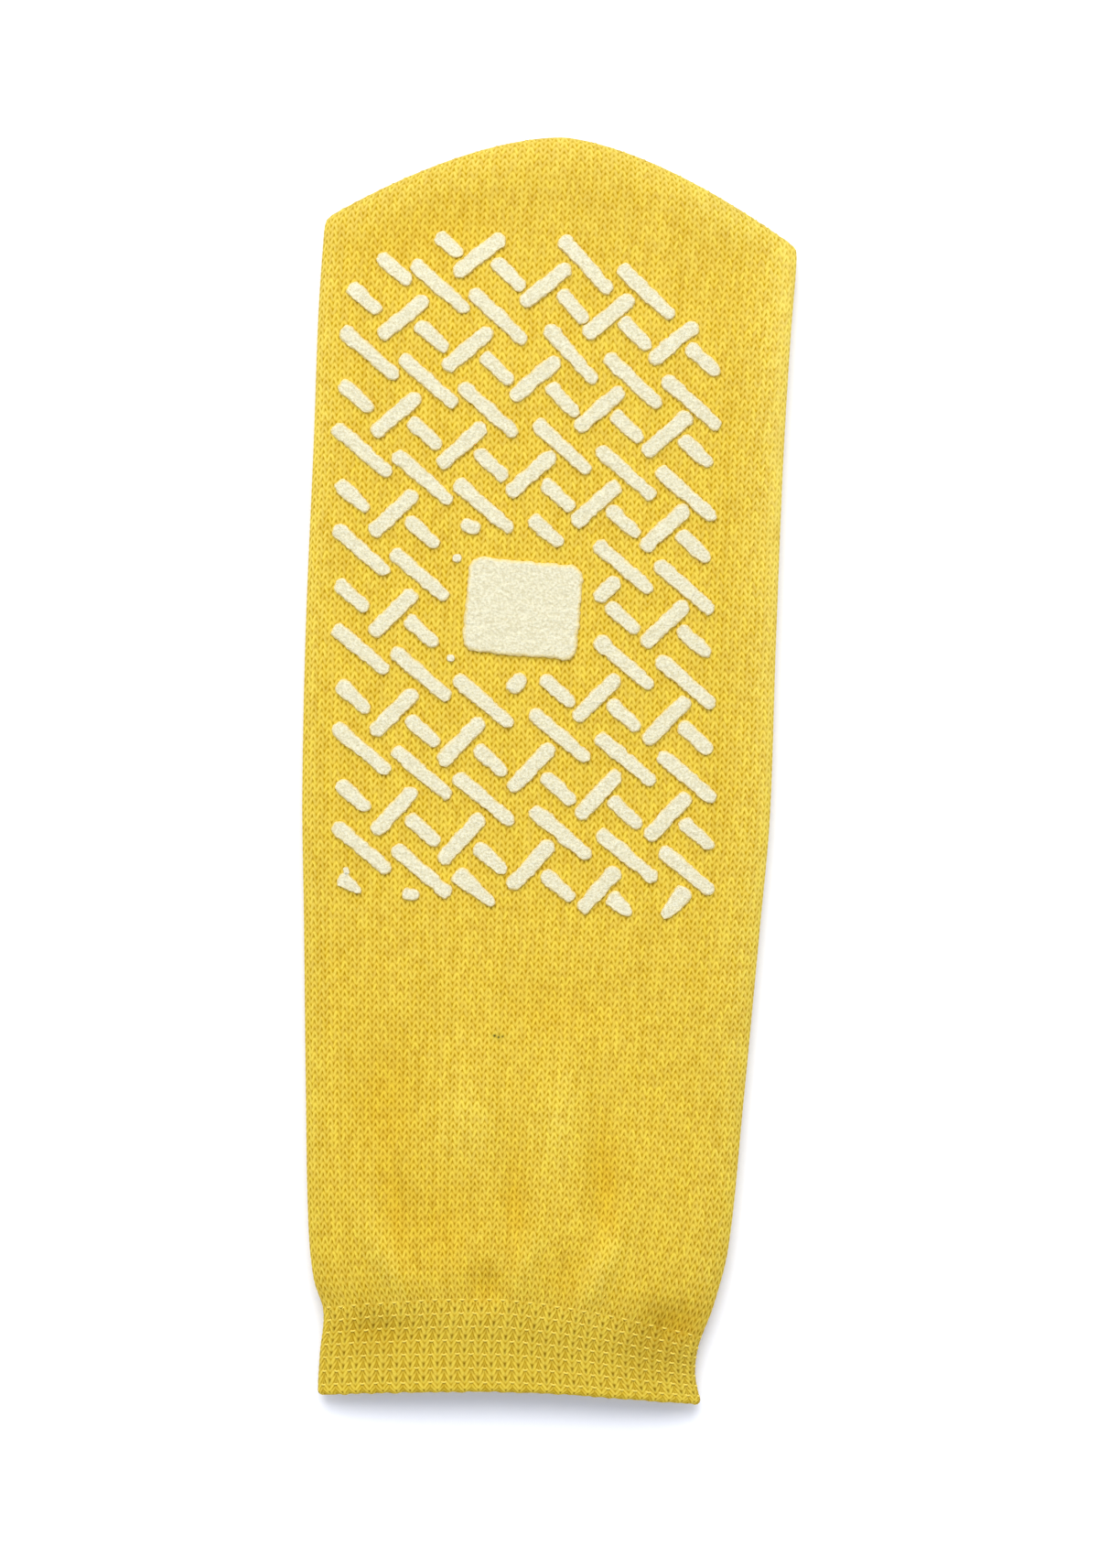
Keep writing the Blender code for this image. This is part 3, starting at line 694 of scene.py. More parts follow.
def lining(knit, over, under):
    """Inside of the tube: a coarser sheet under the tread side and one over the underside."""
    stitch_of = {}
    inset = TUBE_ROWS[-1].wall
    root = COURSE_AT["toe_root"]
    start = COURSE_AT["rim"] + LINING_START * RIM_ROLL
    steps = math.ceil((root - start) / LINING_STEP)
    middles = [start + (root - start) * k / steps for k in range(steps)]
    reach = COURSE_AT["toe_fold"] - inset - root
    turns = [math.pi / 2 * k / LINING_TOE_STEPS for k in range(LINING_TOE_STEPS)]
    middles += [root + reach * math.sin(turn) for turn in turns]
    columns = list(range(0, COLUMNS + 1, LINING_COLUMN_STEP))
    sheets = {}
    for tread_side in (True, False):
        grid = {}
        for k in columns:
            if not tread_side and k in (0, COLUMNS):
                grid[k] = sheets[True][k]
                continue
            points = list(tube_points(ACROSS[k], np.array(middles), tread_side, inner=True))
            if tread_side:
                points.append(tube_points(ACROSS[k], COURSE_AT["toe_fold"] - inset, True, inner=True))
            grid[k] = knit.add_points(points)
            if not tread_side:
                grid[k].append(sheets[True][k][-1])
            for number, middle in zip(grid[k], [*middles, COURSE_AT["toe_fold"]]):
                stitch_of[number] = (k / COLUMNS_PER_WALE, (middle - CUFF_TOP) / COURSE)
        sheets[tread_side] = grid
    for tread_side, grid in sheets.items():
        outer = over if tread_side else under
        step = 1 if tread_side else UNDERSIDE_COLUMN_STEP
        for k, following in zip(columns, columns[1:]):
            edge = [outer[c][0][1] for c in range(k, following + 1, step)]
            for c, number in zip(range(k, following + 1, step), edge):
                stitch_of[number] = (c / COLUMNS_PER_WALE, (start - LINING_EDGE - CUFF_TOP) / COURSE)
            near, far = grid[k], grid[following]
            faces = [(far[0], near[0], *edge)]
            for row in range(len(middles)):
                faces.append((near[row + 1], far[row + 1], far[row], near[row]))
            for face in faces:
                knit.add_face(face if tread_side else face[::-1], stitch_of, LINING_FACES[tread_side])


def object_of(name, points, faces, finishes):
    """Object at the sock's own origin, from points in millimetres."""
    data = bpy.data.meshes.new(name)
    data.from_pydata([Vector(point) * MM for point in points], [], faces)
    for finish in finishes:
        data.materials.append(finish)
    made = bpy.data.objects.new(name, data)
    bpy.context.collection.objects.link(made)
    return made


def fold_sheen_share(x, y):
    """How near places lie to the folds of the flattened tube, as the share of painted sheen there: 1 on a
    fold,
    0 past its width.
    """
    toe = tube_points(ACROSS, COURSE_AT["toe_fold"], True)
    away = {
        "left": x - tube("left", y),
        "right": tube("right", y) - x,
        "toe": np.interp(x, toe[:, 0], toe[:, 1]) - y,
    }
    shares = [
        FOLD_STRENGTHS[side] * np.clip(1.0 - away[side] / width, 0.0, 1.0) ** FOLD_FADE
        for side, width in FOLD_WIDTHS.items()
    ]
    toe_part = np.clip((y - CUFF_TOP) / (COURSE_AT["ball"] - CUFF_TOP), 0.0, 1.0)
    return np.max(shares, axis=0) * (FOLD_AT_CUFF + (1.0 - FOLD_AT_CUFF) * toe_part)


def sock_piece(finishes):
    """The knitted sock."""
    knit = knitted_sock()
    made = object_of("sock_knit", knit.points, knit.faces, finishes)
    data = made.data
    data.polygons.foreach_set("material_index", knit.finishes)
    for name, corners in (("OFBake", knit.spots), ("stitches", knit.stitches)):
        layer = data.uv_layers.new(name=name)
        layer.uv.foreach_set("vector", np.array(corners, dtype=np.float32).ravel())
    x, y, _ = np.array(knit.points).T
    for name, share in (("trough", crease_depth(x, y)), ("fold", fold_sheen_share(x, y))):
        layer = data.attributes.new(name, "FLOAT", "POINT")
        layer.data.foreach_set("value", share.astype(np.float32))
    data.shade_smooth()
    data.update()
    return made


# Foam print

def print_place(point, column, row):
    """Where a bar of the flat print lies on the stretched knit."""
    x = point[0] + ROW_SHIFT * row + SWAY * row ** 2 - SWAY_AT_TOE * row ** 3
    x += COLUMN_SPREAD * column * row - SWAY_OF_COLUMNS * column * row ** 2
    y = point[1] - ROW_PITCH * row + ROW_SPREAD * column * row + ROW_SQUEEZE * row ** 3
    return x, y


def half_planes(corners):
    """The sides of an anticlockwise outline, each as its inward normal and its offset from the origin."""
    sides = []
    for corner, following in zip(corners, corners[1:] + corners[:1]):
        length = math.dist(corner, following)
        ux = (following[0] - corner[0]) / length
        uy = (following[1] - corner[1]) / length
        sides.append(((-uy, ux), ux * corner[1] - uy * corner[0]))
    return sides


def inside_span(start, end, sides):
    """The stretch of a line, as fractions of its length, that lies inside an outline, or None."""
    low, high = 0.0, 1.0
    for (nx, ny), offset in sides:
        first = nx * start[0] + ny * start[1] - offset
        last = nx * end[0] + ny * end[1] - offset
        if first < 0 and last < 0:
            return None
        if first < 0:
            low = max(low, first / (first - last))
        if last < 0:
            high = min(high, first / (first - last))
    return (low, high) if low < high else None


def bar_turn(kind, x, y):
    """Turn of a bar whose middle lies at x and y."""
    turn = kind.turn + kind.fan * y
    if kind is not SLASH:
        off = ((x - TOE_PULL.x) / TOE_PULL.half_width) ** 2 + ((y - TOE_PULL.y) / TOE_PULL.half_length) ** 2
        turn += TOE_PULL.turn * math.exp(-off)
    return math.radians(turn)


def bars_of(kind):
    """Every bar of one kind in the print, cut at its outline and at the clear window. One whose middle lies
    outside isn't printed, and one cut at the heel runs to a point there."""
    bars = []
    for row in TREAD_ROWS:
        for column in TREAD_COLUMNS:
            point = getattr(column, kind.name)
            if not point:
                continue
            x, y = print_place(point, column.number, row)
            turn = bar_turn(kind, x, y)
            half = np.array((math.cos(turn), math.sin(turn))) * kind.length / 2
            start, end = np.array((x, y)) - half, np.array((x, y)) + half
            span = inside_span(start, end, half_planes(PRINT_OUTLINE))
            if span is None or not span[0] < 0.5 < span[1]:
                continue
            taper = kind.taper
            if y < 0.0:
                taper += CUT_TAPER * (min((1.0 - span[1]) / FULL_CUT, 1.0) - min(span[0] / FULL_CUT, 1.0))
            spans = [span]
            gap = inside_span(start, end, half_planes(WINDOW_OUTLINE))
            if gap:
                spans = [(span[0], min(span[1], gap[0])), (max(span[0], gap[1]), span[1])]
            for low, high in spans:
                length = (high - low) * kind.length
                if length > SHORTEST_BAR:
                    middle = start + (end - start) * (low + high) / 2
                    bars.append(Bar(*middle, length, kind.width, math.degrees(turn), taper))
    return bars


def foam_shape(name, bar, corner, top):
    """One puffed shape of foam on the knit: a flat grid, rounded at its ends by corner and raised to its
    top, whose edge sinks into the knit. An attribute marks how near its points lie to that edge, for the
    painted bounce light there."""
    steps_along = max(round(bar.length / FOAM_SPACING), FOAM_LEAST_STEPS)
    steps_across = max(round(bar.width / FOAM_SPACING), FOAM_LEAST_STEPS)
    bpy.ops.object.select_all(action="DESELECT")
    bpy.ops.mesh.primitive_grid_add(x_subdivisions=steps_along, y_subdivisions=steps_across, size=2.0)
    made = bpy.context.active_object
    made.name = name
    data = made.data
    flat = np.empty(len(data.vertices) * 3)
    data.vertices.foreach_get("co", flat)
    along, side = flat.reshape(-1, 3)[:, 0], flat.reshape(-1, 3)[:, 1]
    half_length, half_width = bar.length / 2, bar.width / 2
    far, wide = np.abs(along) * half_length, np.abs(side) * half_width
    over = np.clip((far - (half_length - corner)) / corner, 0.0, 1.0)
    beside = np.clip((wide - (half_width - corner)) / corner, 0.0, 1.0)
    x = np.sign(along) * (far - over * corner + over * corner * np.sqrt(1 - beside ** 2 / 2))
    y = np.sign(side) * (wide - beside * corner + beside * corner * np.sqrt(1 - over ** 2 / 2))
    edge = np.sqrt(np.clip(over ** 2 + beside ** 2 - over ** 2 * beside ** 2, 0.0, 1.0))
    y = y * (1.0 - bar.taper * x / half_length)
    turn = math.radians(bar.turn)
    px = bar.x + x * math.cos(turn) - y * math.sin(turn)
    py = bar.y + x * math.sin(turn) + y * math.cos(turn)
    for size, wander in zip(WANDER_SIZES, WANDER_REACH):
        shift = np.array([noise.noise_vector(Vector((a, b, size)) / size) for a, b in zip(px, py)])
        wander = wander * min(bar.width / LONG.width, 1.0) ** 2
        px = px + wander * shift[:, 0]
        py = py + wander * shift[:, 1]
    rise = (top + FOAM_SUNK) * (1.0 - edge ** FOAM_PUFF) ** 0.5 - FOAM_SUNK
    points = np.stack((px, py, tread_surface(px, py) + rise), axis=-1)
    data.vertices.foreach_set("co", (points * MM).ravel())
    # Share of painted yellow bounce light, near the edge of the foam.
    thin = np.clip((edge - BOUNCE_FROM) / (1.0 - BOUNCE_FROM), 0.0, 1.0)
    data.attributes.new("thin", "FLOAT", "POINT").data.foreach_set("value", thin.astype(np.float32))
    return made


def foam_piece(name, shapes, finish):
    """Joins shapes of foam into one piece, closes them underneath and gives them their puff and crumb."""
    bpy.ops.object.select_all(action="DESELECT")
    for shape in shapes:
        shape.select_set(True)
    bpy.context.view_layer.objects.active = shapes[0]
    if len(shapes) > 1:
        bpy.ops.object.join()
    made = bpy.context.active_object
    made.name = name
    made.data.name = name
    bpy.ops.object.transform_apply(location=True, rotation=True, scale=True)
    for title, size, depth in (("puff", PUFF_SIZE, PUFF_DEPTH), ("crumb", CRUMB_SIZE, CRUMB_DEPTH)):
        grain = bpy.data.textures.new(f"{name}_{title}", "CLOUDS")
        grain.noise_scale = size * MM
        grain.noise_depth = 1
        displace = made.modifiers.new(title, "DISPLACE")
        displace.texture = grain
        displace.texture_coords = "LOCAL"
        displace.strength = depth * MM
        bpy.ops.object.modifier_apply(modifier=title)
    bpy.ops.object.mode_set(mode="EDIT")
    bpy.ops.mesh.select_all(action="SELECT")
    bpy.ops.mesh.region_to_loop()
    bpy.ops.mesh.fill_holes(sides=0)
    bpy.ops.mesh.select_all(action="SELECT")
    bpy.ops.mesh.normals_make_consistent(inside=False)
    bpy.ops.object.mode_set(mode="OBJECT")
    bpy.ops.object.shade_smooth_by_angle(angle=FOAM_SMOOTH)
    made.data.materials.clear()
    made.data.materials.append(finish)
    return made


def tread_pieces(finish):
    """The foam bars, one piece for each kind, and the plain patch."""
    noise.seed_set(WANDER_SEED)
    pieces = {}
    for kind in (LONG, SLASH, SHORT):
        bars = bars_of(kind)
        if kind is SHORT:
            bars += STUBS
        shapes = [foam_shape(kind.name, bar, bar.width / 2 * BAR_ROUNDING, kind.top) for bar in bars]
        pieces[kind.name] = foam_piece(f"tread_{kind.name}_bars", shapes, finish)
    pad = Bar(*PAD_CENTRE, *PAD_SIZE, PAD_TURN, 0.0)
    pieces["pad"] = foam_piece("tread_plain_pad", [foam_shape("pad", pad, PAD_CORNER, PAD_TOP)], finish)
    return pieces


# Elastic of the cuff

def elastic_path(row, tread_side):
    """Points along one thread of elastic, and the outward normals there."""
    wale = np.linspace(0.5, WALES - 0.5, (WALES - 1) * ELASTIC_STEPS + 1)
    from_plain = np.abs((wale + 0.5) % 2.0 - 1.0)
    dip = np.clip(1.0 - from_plain / ELASTIC_REACH, 0.0, 1.0)
    dip = dip * dip * (3.0 - 2.0 * dip)
    count = ELASTIC_TOP - ELASTIC_PITCH * row - ELASTIC_DIP * dip
    count += ELASTIC_STRAY.reach * uneven(list(zip(wale, count)), ELASTIC_STRAY)
    middles = CUFF_TOP + count * CUFF_COURSE
    across = np.interp(wale * COLUMNS_PER_WALE, np.arange(COLUMNS + 1), ACROSS)
    across = across + 2.0 * cuff_spread(wale) / (tube("right", middles) - tube("left", middles))
    across = np.clip(across, -ELASTIC_LIMIT, ELASTIC_LIMIT)
    normals = surface_normals(across, middles, tread_side)
    lift = ELASTIC_LIFT - ELASTIC_SINK * dip
    if not tread_side:
        lift = lift - ELASTIC_LIFT
    return tube_points(across, middles, tread_side) + normals * lift[:, None], normals


def elastic_piece(finish):
    """The threads of elastic that run round the cuff."""
    points, faces = [], []
    angles = np.linspace(0.0, 2.0 * math.pi, ELASTIC_SIDES, endpoint=False)
    for tread_side in (True, False):
        for row in range(ELASTIC_ROWS):
            path, normals = elastic_path(row, tread_side)
            run = np.gradient(path, axis=0)
            side = np.cross(run, normals)
            side = side / np.linalg.norm(side, axis=1, keepdims=True)
            first = len(points)
            for angle in angles:
                points += list(path + ELASTIC_RADIUS * (math.cos(angle) * side + math.sin(angle) * normals))
            starts = [first + k * len(path) for k in range(ELASTIC_SIDES)]
            rings = [range(start, start + len(path)) for start in starts]
            for ring, following in zip(rings, rings[1:] + rings[:1]):
                for k in range(len(path) - 1):
                    faces.append((ring[k], following[k], following[k + 1], ring[k + 1]))
            faces.append(tuple(ring[0] for ring in rings[::-1]))
            faces.append(tuple(ring[-1] for ring in rings))
    made = object_of("cuff_elastic", points, faces, [finish])
    bpy.ops.object.select_all(action="DESELECT")
    made.select_set(True)
    bpy.context.view_layer.objects.active = made
    bpy.ops.object.mode_set(mode="EDIT")
    bpy.ops.mesh.select_all(action="SELECT")
    bpy.ops.mesh.normals_make_consistent(inside=False)
    bpy.ops.object.mode_set(mode="OBJECT")
    bpy.ops.object.shade_smooth_by_angle(angle=ELASTIC_SMOOTH)
    return made


# Materials

def fill(tree, node, inputs):
    """Fills a node's inputs, named or numbered, each with a value or with a link. A link comes from an output
    or from the first output of a node."""
    for socket, value in inputs.items():
        if isinstance(value, bpy.types.Node):
            value = value.outputs[0]
        if isinstance(value, bpy.types.NodeSocket):
            tree.links.new(value, node.inputs[socket])
        else:
            node.inputs[socket].default_value = value


def add(tree, kind, inputs=None, **settings):
    """Adds a node with its settings and inputs."""
    made = tree.nodes.new("ShaderNode" + kind)
    for name, value in settings.items():
        setattr(made, name, value)
    fill(tree, made, inputs or {})
    return made


def new_material(name):
    """Material with its node tree and its Principled shader."""
    made = bpy.data.materials.new(name)
    made.use_nodes = True
    return made, made.node_tree, made.node_tree.nodes["Principled BSDF"]


def soft_spot(tree, position, spot):
    """Share of a soft round spot at each point, from 1 at its middle to 0 at its edge."""
    turned = add(tree, "Mapping", {
        "Vector": position,
        "Location": (spot.x * MM, spot.y * MM, 0.0),
        "Rotation": (0.0, 0.0, math.radians(spot.turn)),
        "Scale": (spot.half_width * MM, spot.half_length * MM, 1.0),
    }, vector_type="TEXTURE")
    away = add(tree, "VectorMath", {0: turned}, operation="LENGTH").outputs["Value"]
    fade = {"Value": away, **ramp(1.0, 0.0, 0.0, spot.strength)}
    return add(tree, "MapRange", fade, interpolation_type="SMOOTHSTEP")


def stitch_places(tree):
    """Places counted in wales and courses, a little uneven from stitch to stitch."""
    stitches = add(tree, "UVMap", uv_map="stitches").outputs["UV"]
    wander = add(tree, "TexNoise", {"Vector": stitches, "Scale": STRAYS_PER_STITCH, "Detail": 2.0})
    centred = {0: wander.outputs["Color"], 1: (0.5, 0.5, 0.5)}
    wander = add(tree, "VectorMath", centred, operation="SUBTRACT")
    moved = add(tree, "VectorMath", {0: wander, 1: COLOUR_STRAY, 2: stitches}, operation="MULTIPLY_ADD")
    place = add(tree, "SeparateXYZ", {0: moved})
    return stitches, place.outputs["X"], place.outputs["Y"]


# Depth is the share of painted shade in a stitch, between the lit colour of the yarn and its shaded one.
Legs = namedtuple("Legs", "cuff from_middle along gap looser depth")


def stitch_legs(tree, stitches, wale, course):
    """Legs of the stitches, as a share of painted shade: painted light along their middle, painted shade in
    the gaps, darkest where two legs meet. In the cuff the legs of a plain wale reach over the recessed
    ones on its sides."""
    cuff = add(tree, "Math", {0: course, 1: 0.0}, operation="LESS_THAN")
    reach = add(tree, "Math", {0: cuff, 1: 0.5, 2: 0.5}, operation="MULTIPLY_ADD")
    from_first = add(tree, "Math", {0: wale, 1: 0.5}, operation="SUBTRACT")
    from_middle = add(tree, "Math", {0: from_first, 1: reach}, operation="PINGPONG")
    along = add(tree, "Math", {0: from_middle, 1: -2.0 * LEG_RISE, 2: course}, operation="MULTIPLY_ADD")
    in_leg = add(tree, "Math", {0: along}, operation="FRACT")
    off_leg = add(tree, "Math", {0: in_leg, 1: 0.5}, operation="SUBTRACT")
    off_leg = add(tree, "Math", {0: off_leg}, operation="ABSOLUTE")
    gap = add(tree, "MapRange", {"Value": off_leg, **LEG_GAP})
    top = add(tree, "MapRange", {"Value": from_middle, **LEG_TOP})
    foot = add(tree, "MapRange", {"Value": from_middle, **LEG_FOOT})
    ends = add(tree, "Math", {0: top, 1: foot}, operation="ADD")
    firm = add(tree, "MapRange", {"Value": cuff, **CUFF_FIRM})
    ends = add(tree, "Math", {0: ends, 1: firm}, operation="MULTIPLY")
    depth = add(tree, "Math", {0: gap, 1: ends}, operation="MULTIPLY")
    slack = add(tree, "TexNoise", {"Vector": stitches, "Scale": SLACK_PER_STITCH, "Detail": 1.0})
    looser = add(tree, "MapRange", {"Value": slack.outputs["Fac"], **LOOSE_STITCH})
    depth = add(tree, "Math", {0: depth, 1: looser}, operation="MULTIPLY")
    # The painted shade of the stitches is weaker near the folds, under their painted sheen.
    fold = add(tree, "Attribute", attribute_name="fold").outputs["Fac"]
    fold_shade_left = add(tree, "MapRange", {"Value": fold, **SHADE_LEFT_AT_FOLD})
    depth = add(tree, "Math", {0: depth, 1: fold_shade_left}, operation="MULTIPLY")
    return Legs(cuff, from_middle, along, gap, looser, depth)


def dyed_yarn(tree, position, wale, legs):
    """Colour of the yarn: a lit and a shaded copy of it, mixed by the painted shade of the stitches, and
    unevenly dyed: each leg of a stitch and each wale has its own shade, and so have wide patches. The yarn
    is paler at the toe and deeper towards the cuff, and painted shade darkens the toe's end where it curls
    away from the light."""
    leg = add(tree, "Math", {0: wale, 1: 2.0}, operation="MULTIPLY")
    leg = add(tree, "CombineXYZ", {0: leg, 1: legs.along})
    leg = add(tree, "VectorMath", {0: leg}, operation="FLOOR")
    dye = add(tree, "TexWhiteNoise", {"Vector": leg}, noise_dimensions="2D")
    shade = add(tree, "MapRange", {"Value": dye.outputs["Value"], **LEG_SHADE})
    streak = add(tree, "Math", {0: wale}, operation="FLOOR")
    streak = add(tree, "TexWhiteNoise", {"W": streak}, noise_dimensions="1D").outputs["Value"]
    streak = add(tree, "MapRange", {"Value": streak, **WALE_SHADE})
    shade = add(tree, "Math", {0: shade, 1: streak}, operation="ADD")
    shaded = add(tree, "Math", {0: legs.depth, 1: shade}, operation="ADD", use_clamp=True)
    height = add(tree, "SeparateXYZ", {0: position}).outputs["Y"]
    lower = add(tree, "MapRange", {"Value": height, **TOE_TO_CUFF})
    # Lit and shaded copies of the yarn's colour, mixed by the painted shade of the stitches.
    lit_yarn = add(tree, "MixRGB", {"Fac": lower, "Color1": colour("#DBBD4A"), "Color2": colour("#D9BB42")})
    shaded_yarn = add(tree, "MixRGB", {"Fac": lower, "Color1": colour("#B28B07"), "Color2": colour("#A98305")})
    yarn = add(tree, "MixRGB", {"Fac": shaded, "Color1": lit_yarn, "Color2": shaded_yarn})
    settings = {"Vector": position, "Scale": 1 / (PATCH_SIZE * MM), "Detail": 3.0}
    patch = add(tree, "TexNoise", settings).outputs["Fac"]
    patch = add(tree, "MapRange", {"Value": patch, **PATCH_DYE})
    # Painted shade where the toe curls away from the light.
    toe_shade = add(tree, "MapRange", {"Value": height, **TOE_CURL_SHADE})
    patch = add(tree, "Math", {0: patch, 1: toe_shade}, operation="MULTIPLY")
    single = add(tree, "SeparateXYZ", {0: dye.outputs["Color"]}).outputs["Y"]
    single = add(tree, "MapRange", {"Value": single, **LEG_DYE})
    patch = add(tree, "Math", {0: patch, 1: single}, operation="MULTIPLY")
    yarn = add(tree, "VectorMath", {0: yarn, "Scale": patch}, operation="SCALE")
    least = [1.0 - share / 2 for share in FLECK]
    fleck = add(tree, "VectorMath", {0: dye.outputs["Color"], 1: FLECK, 2: least}, operation="MULTIPLY_ADD")
    return add(tree, "VectorMath", {0: yarn, 1: fleck}, operation="MULTIPLY")


def cuff_yarn(tree, yarn, course, legs):
    """Colour of the yarn with the cuff's own knit: painted shade darkens its recessed wales over each thread
    of elastic, narrower towards the next one, and the whole cuff below its top. Painted light lies on the
    legs of its plain wales, which open into small holes of painted shade beside them."""
    over_thread = add(tree, "Math", {0: course, 1: ELASTIC_TOP}, operation="SUBTRACT")
    over_thread = add(tree, "Math", {0: over_thread, 1: ELASTIC_PITCH}, operation="FLOORED_MODULO")
    aside = add(tree, "Math", {0: 1.0, 1: legs.from_middle}, operation="SUBTRACT")
    flank = add(tree, "Math", {0: aside, 1: RECESS_SLOPE, 2: over_thread}, operation="MULTIPLY_ADD")
    recess_shade = add(tree, "MapRange", {"Value": flank, **RECESS_PAINTED_SHADE})
    clear = add(tree, "MapRange", {"Value": over_thread, **RECESS_CLEAR})
    recess_shade = add(tree, "Math", {0: recess_shade, 1: clear}, operation="MULTIPLY")
    # Painted shade over the whole cuff below its top.
    thin = add(tree, "MapRange", {"Value": course, **CUFF_PAINTED_SHADE})
    cuff_shade = add(tree, "Math", {0: recess_shade, 1: thin}, operation="ADD")
    cuff_shade = add(tree, "Math", {0: cuff_shade, 1: legs.cuff}, operation="MULTIPLY")
    # The recessed wales and the whole cuff are mixed towards a painted shade colour.
    yarn = add(tree, "MixRGB", {"Fac": cuff_shade, "Color1": yarn, "Color2": colour("#9C8118")})
    # Painted light on the legs of the plain wales: they are mixed towards a lit yarn colour.
    arm = add(tree, "Math", {0: 1.0, 1: legs.gap}, operation="SUBTRACT")
    plain = add(tree, "MapRange", {"Value": legs.from_middle, **PLAIN_LEGS})
    plain = add(tree, "Math", {0: plain, 1: legs.cuff}, operation="MULTIPLY")
    arm = add(tree, "Math", {0: arm, 1: plain}, operation="MULTIPLY")
    yarn = add(tree, "MixRGB", {"Fac": arm, "Color1": yarn, "Color2": colour("#DEC44A")})
    # Painted shade in the small holes beside the plain wales' legs.
    level = add(tree, "Math", {0: over_thread, 1: HOLE_PLACE}, operation="SUBTRACT")
    level = add(tree, "Math", {0: level}, operation="ABSOLUTE")
    level = add(tree, "MapRange", {"Value": level, **HOLE_HEIGHT})
    middle = add(tree, "MapRange", {"Value": legs.from_middle, **HOLE_WIDTH})
    middle = add(tree, "Math", {0: middle, 1: legs.looser}, operation="MULTIPLY")
    hole = add(tree, "Math", {0: level, 1: middle}, operation="MULTIPLY")
    hole = add(tree, "Math", {0: hole, 1: legs.cuff}, operation="MULTIPLY")
    return add(tree, "MixRGB", {"Fac": hole, "Color1": yarn, "Color2": colour("#614603")})


def knit_material(name, stitch_bump=0.0):
    """Brushed acrylic yarn, knitted plain: matt and softly fuzzy, with painted light along its thin legs,
    painted warm shade in the gaps where they meet, and a yarn that takes the dye a little unevenly.
    Stitch_bump gives legs to a flat sheet."""
    made, tree, shader = new_material(name)
    position = add(tree, "TexCoord").outputs["Object"]
    stitches, wale, course = stitch_places(tree)
    legs = stitch_legs(tree, stitches, wale, course)
    yarn = dyed_yarn(tree, position, wale, legs)

    # Painted shade: light that bounces in a crease would come out deeper and warmer, so the yarn is darkened
    # by the creases' depth. Painted sheen: at the folds the fuzz would catch the light and pale, so the yarn
    # is paled there.
    tint = (1.0, 1.0, 1.0)
    for layer, change in (("trough", CREASE_SHADE_TINT), ("fold", FOLD_SHEEN_TINT)):
        share = add(tree, "Attribute", attribute_name=layer).outputs["Fac"]
        share = add(tree, "CombineXYZ", {0: share, 1: share, 2: share})
        tint = add(tree, "VectorMath", {0: share, 1: change, 2: tint}, operation="MULTIPLY_ADD")
    yarn = add(tree, "VectorMath", {0: yarn, 1: tint}, operation="MULTIPLY")
    yarn = cuff_yarn(tree, yarn, course, legs)

    # Painted shade on the cuff, and a stain.
    for spot in SHADE_AND_STAIN_SPOTS:
        share = soft_spot(tree, position, spot)
        yarn = add(tree, "MixRGB", {"Fac": share, "Color1": yarn, "Color2": colour(spot.tint)})

    # Fuzz of the yarn, and the legs of a flat sheet.
    settings = {"Vector": position, "Scale": 1 / (FIBRE_SIZE * MM), "Detail": 2.0}
    fuzz = add(tree, "TexNoise", settings).outputs["Fac"]
    bump = add(tree, "Bump", {"Height": fuzz, "Strength": 0.35, "Distance": FIBRE_SIZE * MM})
    if stitch_bump:
        raised = add(tree, "Math", {0: 1.0, 1: legs.depth}, operation="SUBTRACT")
        bump = add(tree, "Bump", {"Height": raised, "Distance": stitch_bump * MM, "Normal": bump})
    fill(tree, shader, {
        "Base Color": yarn,
        "Normal": bump,
        "Roughness": 0.95,
        "Specular IOR Level": 0.02,
        "Sheen Weight": 0.15,
        "Sheen Roughness": 0.35,
        "Sheen Tint": colour("#FFE690"),
    })
    return made


def lining_material(name):
    """Back of the plain knit, inside the tube: rows of low purl arcs, duller and deeper than the face."""
    made, tree, shader = new_material(name)
    position = add(tree, "TexCoord").outputs["Object"]
    _, wale, course = stitch_places(tree)
    turn = add(tree, "Math", {0: wale, 1: 2.0 * math.pi}, operation="MULTIPLY")
    arch = add(tree, "Math", {0: turn}, operation="COSINE")
    row = add(tree, "Math", {0: arch, 1: PURL_ARCH, 2: course}, operation="MULTIPLY_ADD")
    row = add(tree, "Math", {0: row, 1: 2.0 * math.pi}, operation="MULTIPLY")
    purl = add(tree, "Math", {0: row}, operation="SINE")
    shade = add(tree, "MapRange", {"Value": purl, **PURL_SHADE})
    yarn = add(tree, "MixRGB", {"Fac": shade, "Color1": colour("#936C0D"), "Color2": colour("#CDB03F")})
    settings = {"Vector": position, "Scale": 1 / (FIBRE_SIZE * MM), "Detail": 2.0}
    fuzz = add(tree, "TexNoise", settings).outputs["Fac"]
    rough = add(tree, "Math", {0: fuzz, 1: 0.5, 2: shade}, operation="MULTIPLY_ADD")
    bump = add(tree, "Bump", {"Height": rough, "Distance": PURL_HEIGHT * MM})
    fill(tree, shader, {"Base Color": yarn, "Normal": bump, "Roughness": 0.95, "Specular IOR Level": 0.02})
    return made


def elastic_material(name):
    """Covered elastic: a pale thread wound round a rubber core, with a soft gloss and fine turns."""
    made, tree, shader = new_material(name)
    position = add(tree, "TexCoord").outputs["Object"]
    turns = add(tree, "TexWave", {
        "Vector": position, "Scale": 1 / (THREAD_TURN * MM), "Distortion": 3.0, "Detail": 1.0,
    }, bands_direction="DIAGONAL").outputs["Fac"]
    thread = add(tree, "MixRGB", {"Fac": turns, "Color1": colour("#DDC34B"), "Color2": colour("#E3CC5D")})
    bump = add(tree, "Bump", {"Height": turns, "Strength": 0.4, "Distance": TURN_DEPTH * MM})
    fill(tree, shader, {"Base Color": thread, "Normal": bump, "Roughness": 0.7, "Specular IOR Level": 0.15})
    return made


